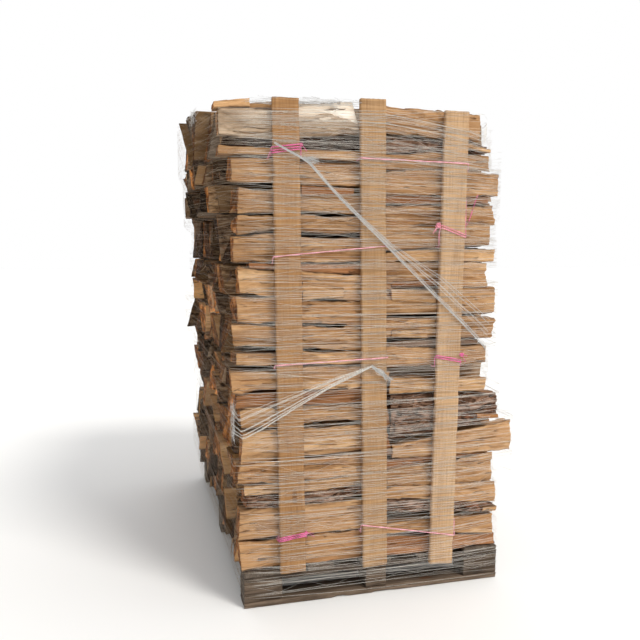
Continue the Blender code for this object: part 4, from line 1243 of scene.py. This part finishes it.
PINK, MAGENTA, PALE = (1.12, 1.55, 1.30, 0), (1.0, 0.75, 1.15, 0), (1.12, 2.0, 1.55, 0)
TINTS = {"twine_tie_top_left": MAGENTA, "twine_tie_top_right": PALE, "twine_tie_upper_left": PALE, "twine_tie_upper_right": PINK,
         "twine_tie_middle_left": PALE, "twine_tie_middle_right": MAGENTA, "twine_tie_bottom_left": MAGENTA, "twine_tie_bottom_right": PALE}
for i, (name, (left, right)) in enumerate(TIES.items()):
    bag = Bag()
    tint = TINTS[name]
    tube(bag, refine(tie_points(left, right, push=0.0005), seed=i), 0.0024, sides=6, closed=True, tint=tint, flat=0.75, twist=45.0)
    for m in (-1, 1):
        def turn(which, zl, zr, out=0.0, m=m, bag=bag, tint=tint, i=i):
            p = refine(small_loop(which, zl, zr, out), closed=False, seed=i + 5)
            p[:, 1] *= -m
            tube(bag, p, 0.0021, sides=6, tint=tint, flat=0.75, twist=45.0)
        if name == "twine_tie_top_left":
            turn("left", 1.618, 1.634)
            turn("left", 1.610, 1.626, 0.001)
        elif name == "twine_tie_upper_right":
            turn("right", 1.374, 1.342, 0.001)
        elif name == "twine_tie_middle_right":
            turn("right", 0.890, 0.872, 0.001)
        elif name == "twine_tie_bottom_left":
            turn("left", 0.248, 0.260)
            turn("left", 0.261, 0.272, 0.001)
    if name == "twine_tie_upper_right":
        knot(bag, (slat_x("right", 1.37) - EDGE - 0.008, -0.768, 1.374), 0.011, 71, tint, 2, -1)
        p = [on_front(466, 226, -0.762), on_front(469, 221, -0.768), on_front(473, 209, -0.771), on_front(477, 197, -0.762), on_front(478, 195, -0.745)]
        tube(bag, refine(p, closed=False, seed=9), 0.0016, sides=6, tint=MAGENTA, flat=0.75, twist=45)
    if name == "twine_tie_middle_right":
        knot(bag, (slat_x("right", 0.9) + EDGE - 0.004, -0.774, 0.899), 0.008, 72, tint, 2, 1)
    if name == "twine_tie_top_left":
        knot(bag, (slat_x("left", 1.64) + EDGE, -0.764, 1.641), 0.006, 73, tint, 1, 1)
        t = np.linspace(0, 1, 12)[:, None]
        p = np.array([slat_x("left", 1.61) - EDGE - 0.002, -0.763, 1.616]) + t * np.array([-0.010, 0.002, -0.026])
        tube(bag, p, 0.0016, sides=6, tint=tint, twist=40)
    if name == "twine_tie_bottom_left":
        knot(bag, (slat_x("left", 0.26) + EDGE - 0.002, -0.766, 0.268), 0.006, 74, tint, 2, 1)
    o = bag.build(name.replace("tie", "loop"), [TWINE], sharp=60)
    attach(o, "root")
    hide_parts(name)


# ------------------------------------------------------------------ net
def hull(points):
    """Convex hull, counterclockwise."""
    pts = sorted(set(map(tuple, np.round(points, 5))))

    def half(seq):
        out = []
        for p in seq:
            while len(out) >= 2 and (out[-1][0] - out[-2][0]) * (p[1] - out[-2][1]) - (out[-1][1] - out[-2][1]) * (p[0] - out[-2][0]) <= 1e-9:
                out.pop()
            out.append(p)
        return out[:-1]
    return np.array(half(pts) + half(pts[::-1]))


def outline(z, window=0.030):
    """What the net is stretched over at height z."""
    pts = []
    for side, y0, y1, z0, z1, x in BILLETS:
        if z0 < z + window and z1 > z - window:
            pts += [(x, y0), (x, y1)]
    for x0, x1, z0, z1 in SLATS.values():
        if z0 - 0.02 < z < z1 + 0.012:
            xc = x0 + (x1 - x0) * (z - z0) / (z1 - z0)
            pts += [(xc + s * SLAT_W / 2, f * (HALF_D + 2 * GAP + SLAT_T)) for s in (-1, 1) for f in (-1, 1)]
    if z < 0.14:
        pts += [(s * 0.5, f * 0.75) for s in (-1, 1) for f in (-1, 1)]
    return hull(pts)


def strand_path(z, spacing=0.050, out=0.0016):
    h = outline(z)
    c = h.mean(0)
    n = len(h)
    pts = []
    for i in range(n):
        a, b = h[i], h[(i + 1) % n]
        k = max(1, int(round(np.linalg.norm(b - a) / spacing)))
        pts += [a + (b - a) * t for t in np.arange(k) / k]
    pts = np.array(pts)
    d = pts - c
    away = np.stack([np.sign(d[:, 0]) * (np.abs(d[:, 0]) > 0.44), np.sign(d[:, 1]) * (np.abs(d[:, 1]) > 0.74)], -1)
    away = away / np.maximum(np.linalg.norm(away, axis=1)[:, None], 1e-9)
    return pts + away * out


def fan(x, y, z):
    """On the front's top right the threads fan down to the right."""
    w = smooth(1.50, 1.80, z) * (y < -0.70)
    return -0.20 * np.clip(x + 0.02, 0, 0.5) * w


def over_twine(p):
    """Threads ride over the twine that they cross."""
    for (ls, lz, _), (rs, rz, _) in TIES.values():
        xl, xr = slat_x(ls, lz) - EDGE, slat_x(rs, rz) + EDGE
        tz = lz + (rz - lz) * np.clip((p[:, 0] - xl) / (xr - xl), 0, 1)
        near = np.exp(-((p[:, 2] - tz) / 0.006) ** 2) * (p[:, 0] > xl - 0.01) * (p[:, 0] < xr + 0.01) * (np.abs(p[:, 1]) > 0.75)
        p[:, 1] += np.sign(p[:, 1]) * near * 0.0050
    return p


def settle(p):
    """Near the top the threads stay below the upper edge of the logs that they lie on."""
    low = np.interp(p[:, 0], [-0.60, -0.02, 0.02, 0.45], [1.750, 1.768, 1.778, 1.786])
    cap = low + (1.806 - low) * smooth(-0.50, 0.10, p[:, 1])
    p[:, 2] -= np.maximum(p[:, 2] - 1.70, 0) * (1 - (cap - 1.70) / 0.106)
    return p


rng = np.random.default_rng(2024)
levels = []
z = 0.026
while z < 1.800:
    levels.append(z)
    dense = 0.0056 if 0.9 < z < 1.25 or z > 1.60 else 0.0068
    z += rng.uniform(0.35, 1.65) * dense
levels = np.array(levels)
pillar, cross = Bag(), Bag()
WHITE = [(1.0, 1.0, 1.0, 0), (1.08, 1.07, 1.05, 0), (0.92, 0.91, 0.90, 0)]
paths = []


def shaded(p, value):
    """The colour along a thread, which is dusty and darkened with painted shade where it lies on the rough ends at the
    left.
    """
    # dust and painted shade on the threads over the shaded left side
    dust_and_painted_shade = np.where(p[:, :1] < -0.50, [[0.52, 0.42, 0.32]], [[1.0, 0.985, 0.96]]) * value
    return np.repeat(np.concatenate([dust_and_painted_shade, np.zeros((len(p), 1))], 1), 3, axis=0)


for i, z0 in enumerate(levels):
    xy = strand_path(z0, spacing=0.085)
    n = len(xy)
    per = np.r_[0, np.cumsum(np.linalg.norm(np.diff(xy, axis=0), axis=1))]
    total = per[-1] + np.linalg.norm(xy[0] - xy[-1])
    ph = per / total * 2 * math.pi
    tilt = rng.uniform(-0.022, 0.022)
    zz = z0 + tilt * np.sin(ph + rng.uniform(0, 6.28)) + rng.uniform(0.004, 0.010) * np.sin(2 * ph + rng.uniform(0, 6.28)) + 0.0018 * vnoise(per * 9, i * 3.7, 0, 5)
    p = np.stack([xy[:, 0], xy[:, 1], zz], -1)
    p[:, 2] += fan(p[:, 0], p[:, 1], p[:, 2])
    p[:, 2] = np.clip(p[:, 2], 0.018, 1.806)
    p = settle(p)
    paths.append((p, per, total))
    size = rng.uniform(0.00024, 0.00048) * np.where(p[:, 0] < -0.49, 0.32, np.where(p[:, 0] > 0.47, 0.62, 1.0))
    tube(pillar, over_twine(p.copy()), size, sides=3, closed=True, tint=shaded(p, rng.uniform(0.72, 1.10)))


def at(path, s):
    """The point at distance s along a closed path."""
    p, per, total = path
    s = np.mod(s, total)
    full = np.r_[per, total]
    q = np.concatenate([p, p[:1]])
    return np.stack([np.interp(s, full, q[:, k]) for k in range(3)], -1)


for i in range(len(levels) - 1):
    a, b = paths[i], paths[i + 1]
    if b[0][:, 2].mean() - a[0][:, 2].mean() < 0.005 or i % 3 == 0:
        continue
    pitch = 0.085 + 0.03 * rng.random()
    count = int(a[2] / pitch)
    count += count % 2
    s = (np.arange(count) + rng.uniform(0, 1)) / count
    pa, pb = at(a, s * a[2]), at(b, s * b[2])
    p = np.where((np.arange(count) % 2)[:, None] > 0, pa, pb)
    # keep the thread outside the corners that it turns
    c = np.abs(p[:, 1]) > 0.74
    p[:, 1] += np.sign(p[:, 1]) * c * 0.0008
    p[:, 0] += np.sign(p[:, 0]) * (np.abs(p[:, 0]) > 0.44) * 0.0010
    tube(cross, over_twine(p), 0.00028 * np.where(p[:, 0] < -0.49, 0.4, 1.0), sides=3, closed=True, tint=shaded(p, rng.uniform(0.75, 1.05)))

# threads that cross the front at a slant and end on the sides
for i in range(110):
    za = rng.uniform(0.20, 1.76) if i < 70 else rng.uniform(1.45, 1.78)
    dz = rng.uniform(-0.20, 0.20)
    xy = strand_path(float(np.clip(za + dz / 2, 0.1, 1.78)), spacing=0.06)
    xy = xy[xy[:, 1] < -0.62]
    xy = xy[np.argsort(np.arctan2(xy[:, 1], xy[:, 0]))]
    per = np.r_[0, np.cumsum(np.linalg.norm(np.diff(xy, axis=0), axis=1))]
    zz = np.clip(za + dz * per / per[-1] + 0.002 * vnoise(per * 7, i * 2.3, 0, 8), 0.06, 1.800)
    p = settle(np.stack([xy[:, 0], xy[:, 1], zz], -1))
    tube(cross, over_twine(p), rng.uniform(0.00022, 0.00042), sides=3, tint=shaded(p, rng.uniform(0.80, 1.10)))

o = pillar.build("net_wrap_threads", [NET], sharp=80)
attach(o, "root")
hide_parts("net_wrap")
o = cross.build("net_wrap_cross_threads", [NET], sharp=80)
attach(o, "root")


# gathered ropes of net, the torn tail and the bunches
def strand_through(points, jitter, rng, n=34):
    pts = np.array(points, float)
    s = np.r_[0, np.cumsum(np.linalg.norm(np.diff(pts, axis=0), axis=1))]
    t = np.linspace(0, s[-1], n)
    p = np.stack([np.interp(t, s, pts[:, k]) for k in range(3)], -1)
    u = t / s[-1]
    ph = rng.uniform(0, 6.28)
    k = rng.uniform(3, 8)
    p[:, 2] += jitter * np.sin(k * u * 6.28 + ph)
    p[:, 1] -= 0.6 * jitter * (1 + np.cos(k * u * 6.28 + ph))
    return p


def blend_paths(a, b, w):
    return [np.asarray(p) * (1 - w) + np.asarray(q) * w for p, q in zip(a, b)]


ropes = Bag()
rng = np.random.default_rng(77)
fy = -0.7800
A_low = [on_front(274, 143, fy), on_front(307, 161, fy), on_front(339, 197, fy), on_front(387, 246, fy), on_front(430.6, 291, fy), on_front(464.5, 325, -0.776), on_front(485, 347.5, -0.757), (0.452, -0.700, 0.90)]
A_high = [on_front(275, 142, fy), on_front(308, 161, fy), on_front(340, 197, fy), on_front(390, 243, fy), on_front(441, 276, fy), on_front(466, 298, -0.776), on_front(489, 318, -0.757), (0.470, -0.700, 1.02)]
GREY = [(0.80, 0.81, 0.84, 0), (0.92, 0.92, 0.93, 0), (0.66, 0.66, 0.68, 0)]
for i in range(26):
    w = 0.0 if i < 12 else rng.uniform(0.02, 1.0)
    p = strand_through(blend_paths(A_low, A_high, w), 0.0011 + 0.0006 * rng.random(), rng, n=44)
    p[:, 2] += rng.normal(0, 0.0026 if i < 12 else 0.0012) * np.clip(np.linspace(0, 5.5, len(p)), 0.15, 1)
    p[:, 1] -= abs(rng.normal(0, 0.0014))
    tube(ropes, p, rng.uniform(0.00035, 0.00060) if i < 12 else rng.uniform(0.0003, 0.0005), sides=4, tint=GREY[i % 3])
B_low = [on_front(372, 366.5, fy), on_front(331, 387, fy), on_front(300, 405, fy), on_front(262, 429, -0.772), on_front(243, 439, -0.757), (-0.530, -0.700, 0.640)]
B_high = [on_front(372, 366, fy), on_front(331, 379, fy), on_front(304, 390, fy), on_front(254, 409, -0.772), on_front(238, 416, -0.757), (-0.534, -0.700, 0.735)]
for i in range(30):
    w = rng.choice([0.0, 0.12, 0.3, 0.55, 0.8, 1.0]) + rng.normal(0, 0.015)
    p = strand_through(blend_paths(B_low, B_high, w), 0.0009, rng, n=40)
    p[:, 2] += rng.normal(0, 0.0013)
    p[:, 1] -= abs(rng.normal(0, 0.0015))
    tube(ropes, p, rng.uniform(0.00026, 0.00048), sides=4, tint=WHITE[i % 3])
# torn tail
for i in range(34):
    a = on_front(372 + rng.normal(0, 0.8), 366.5 + rng.normal(0, 0.8), fy)
    b = on_front(380 + rng.normal(0, 1.8), 372.5 + rng.normal(0, 1.5), fy - 0.006)
    c = on_front(390 + rng.normal(0, 2.2), 380 + rng.normal(0, 1.2), fy + 0.002)
    tube(ropes, strand_through([a, b, c], 0.0012, rng, n=12), rng.uniform(0.0004, 0.0008), sides=3, tint=GREY[i % 3])
# bunch on the long rope
for i in range(36):
    a = on_front(304 + rng.uniform(-3, 4), 158 + rng.normal(0, 1.2), fy)
    b = on_front(311 + rng.uniform(-2, 9), 160 + rng.normal(0, 1.8), fy - 0.004)
    m = (a + b) / 2 + rng.normal(0, 0.004, 3) * [1, 0.4, 1]
    tube(ropes, strand_through([a, m, b], 0.0015, rng, n=10), rng.uniform(0.0004, 0.0007), sides=3, tint=GREY[i % 3])


def bunch(centre, spread, count, radius, seed, around):
    """A tangle of slack net. around is not used."""
    rng = np.random.default_rng(seed)
    for i in range(count):
        a = centre + rng.uniform(-1, 1, 3) * spread
        d = rng.uniform(-1, 1, 3) * spread * 0.9
        k = np.linspace(0, 1, 12)[:, None]
        side = rng.uniform(-1, 1, 3) * spread * 0.35
        p = a + d * (k - 0.5) + side * np.sin(k * math.pi * rng.uniform(1, 2.5))
        tube(ropes, p, rng.uniform(radius * 0.5, radius), sides=3, tint=GREY[i % 3])


bunch(np.array([-0.533, -0.735, 0.690]), np.array([0.006, 0.030, 0.055]), 60, 0.00042, 5, 0)      # left front corner
bunch(np.array([-0.630, -0.44, 1.768]), np.array([0.012, 0.055, 0.022]), 110, 0.0006, 6, 0)       # top of the left side
bunch(np.array([-0.30, -0.748, 1.785]), np.array([0.16, 0.020, 0.010]), 80, 0.0005, 7, 1)        # over the top edge
bunch(np.array([-0.18, -0.748, 1.790]), np.array([0.09, 0.020, 0.012]), 60, 0.0005, 8, 1)
o = ropes.build("net_ropes", [NET], sharp=80)
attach(o, "root")


# ------------------------------------------------------------------ stage and light
def make_stage():
    me = bpy.data.meshes.new("floor")
    s = 40.0
    me.from_pydata([(-s, -s, 0), (s, -s, 0), (s, s, 0), (-s, s, 0)], [], [(0, 1, 2, 3)])
    m, nt, p = new_material("floor", (0.93, 0.93, 0.925), 0.9)
    p.inputs["Specular IOR Level"].default_value = 0.1
    me.materials.append(m)
    o = bpy.data.objects.new("floor", me)
    o.location.z = -0.0008
    bpy.context.scene.collection.objects.link(o)
    # white surroundings, with a darker flag on the left
    w = bpy.data.worlds.new("studio")
    w.use_nodes = True
    nt = w.node_tree
    bg = nt.nodes["Background"]
    d = node(nt, "ShaderNodeTexCoord").outputs["Generated"]
    dx = node(nt, "ShaderNodeSeparateXYZ", {0: d}).outputs[0]
    shade = rampf(nt, dx, -0.72, -0.22, 0.24, 1.0)
    nt.links.new(shade, bg.inputs[1])
    bg.inputs[0].default_value = (1.0, 1.0, 1.0, 1)
    bpy.context.scene.world = w
    sun = bpy.data.lights.new("key", "SUN")
    sun.energy, sun.angle, sun.color = 1.65, math.radians(18), (1.0, 0.97, 0.92)
    so = bpy.data.objects.new("key", sun)
    bpy.context.scene.collection.objects.link(so)
    so.rotation_euler = (Vector((0, 0, 0)) - Vector((0.50, -0.72, 0.95))).to_track_quat("-Z", "Y").to_euler()
    bpy.context.scene.view_settings.view_transform = "Standard"


make_stage()
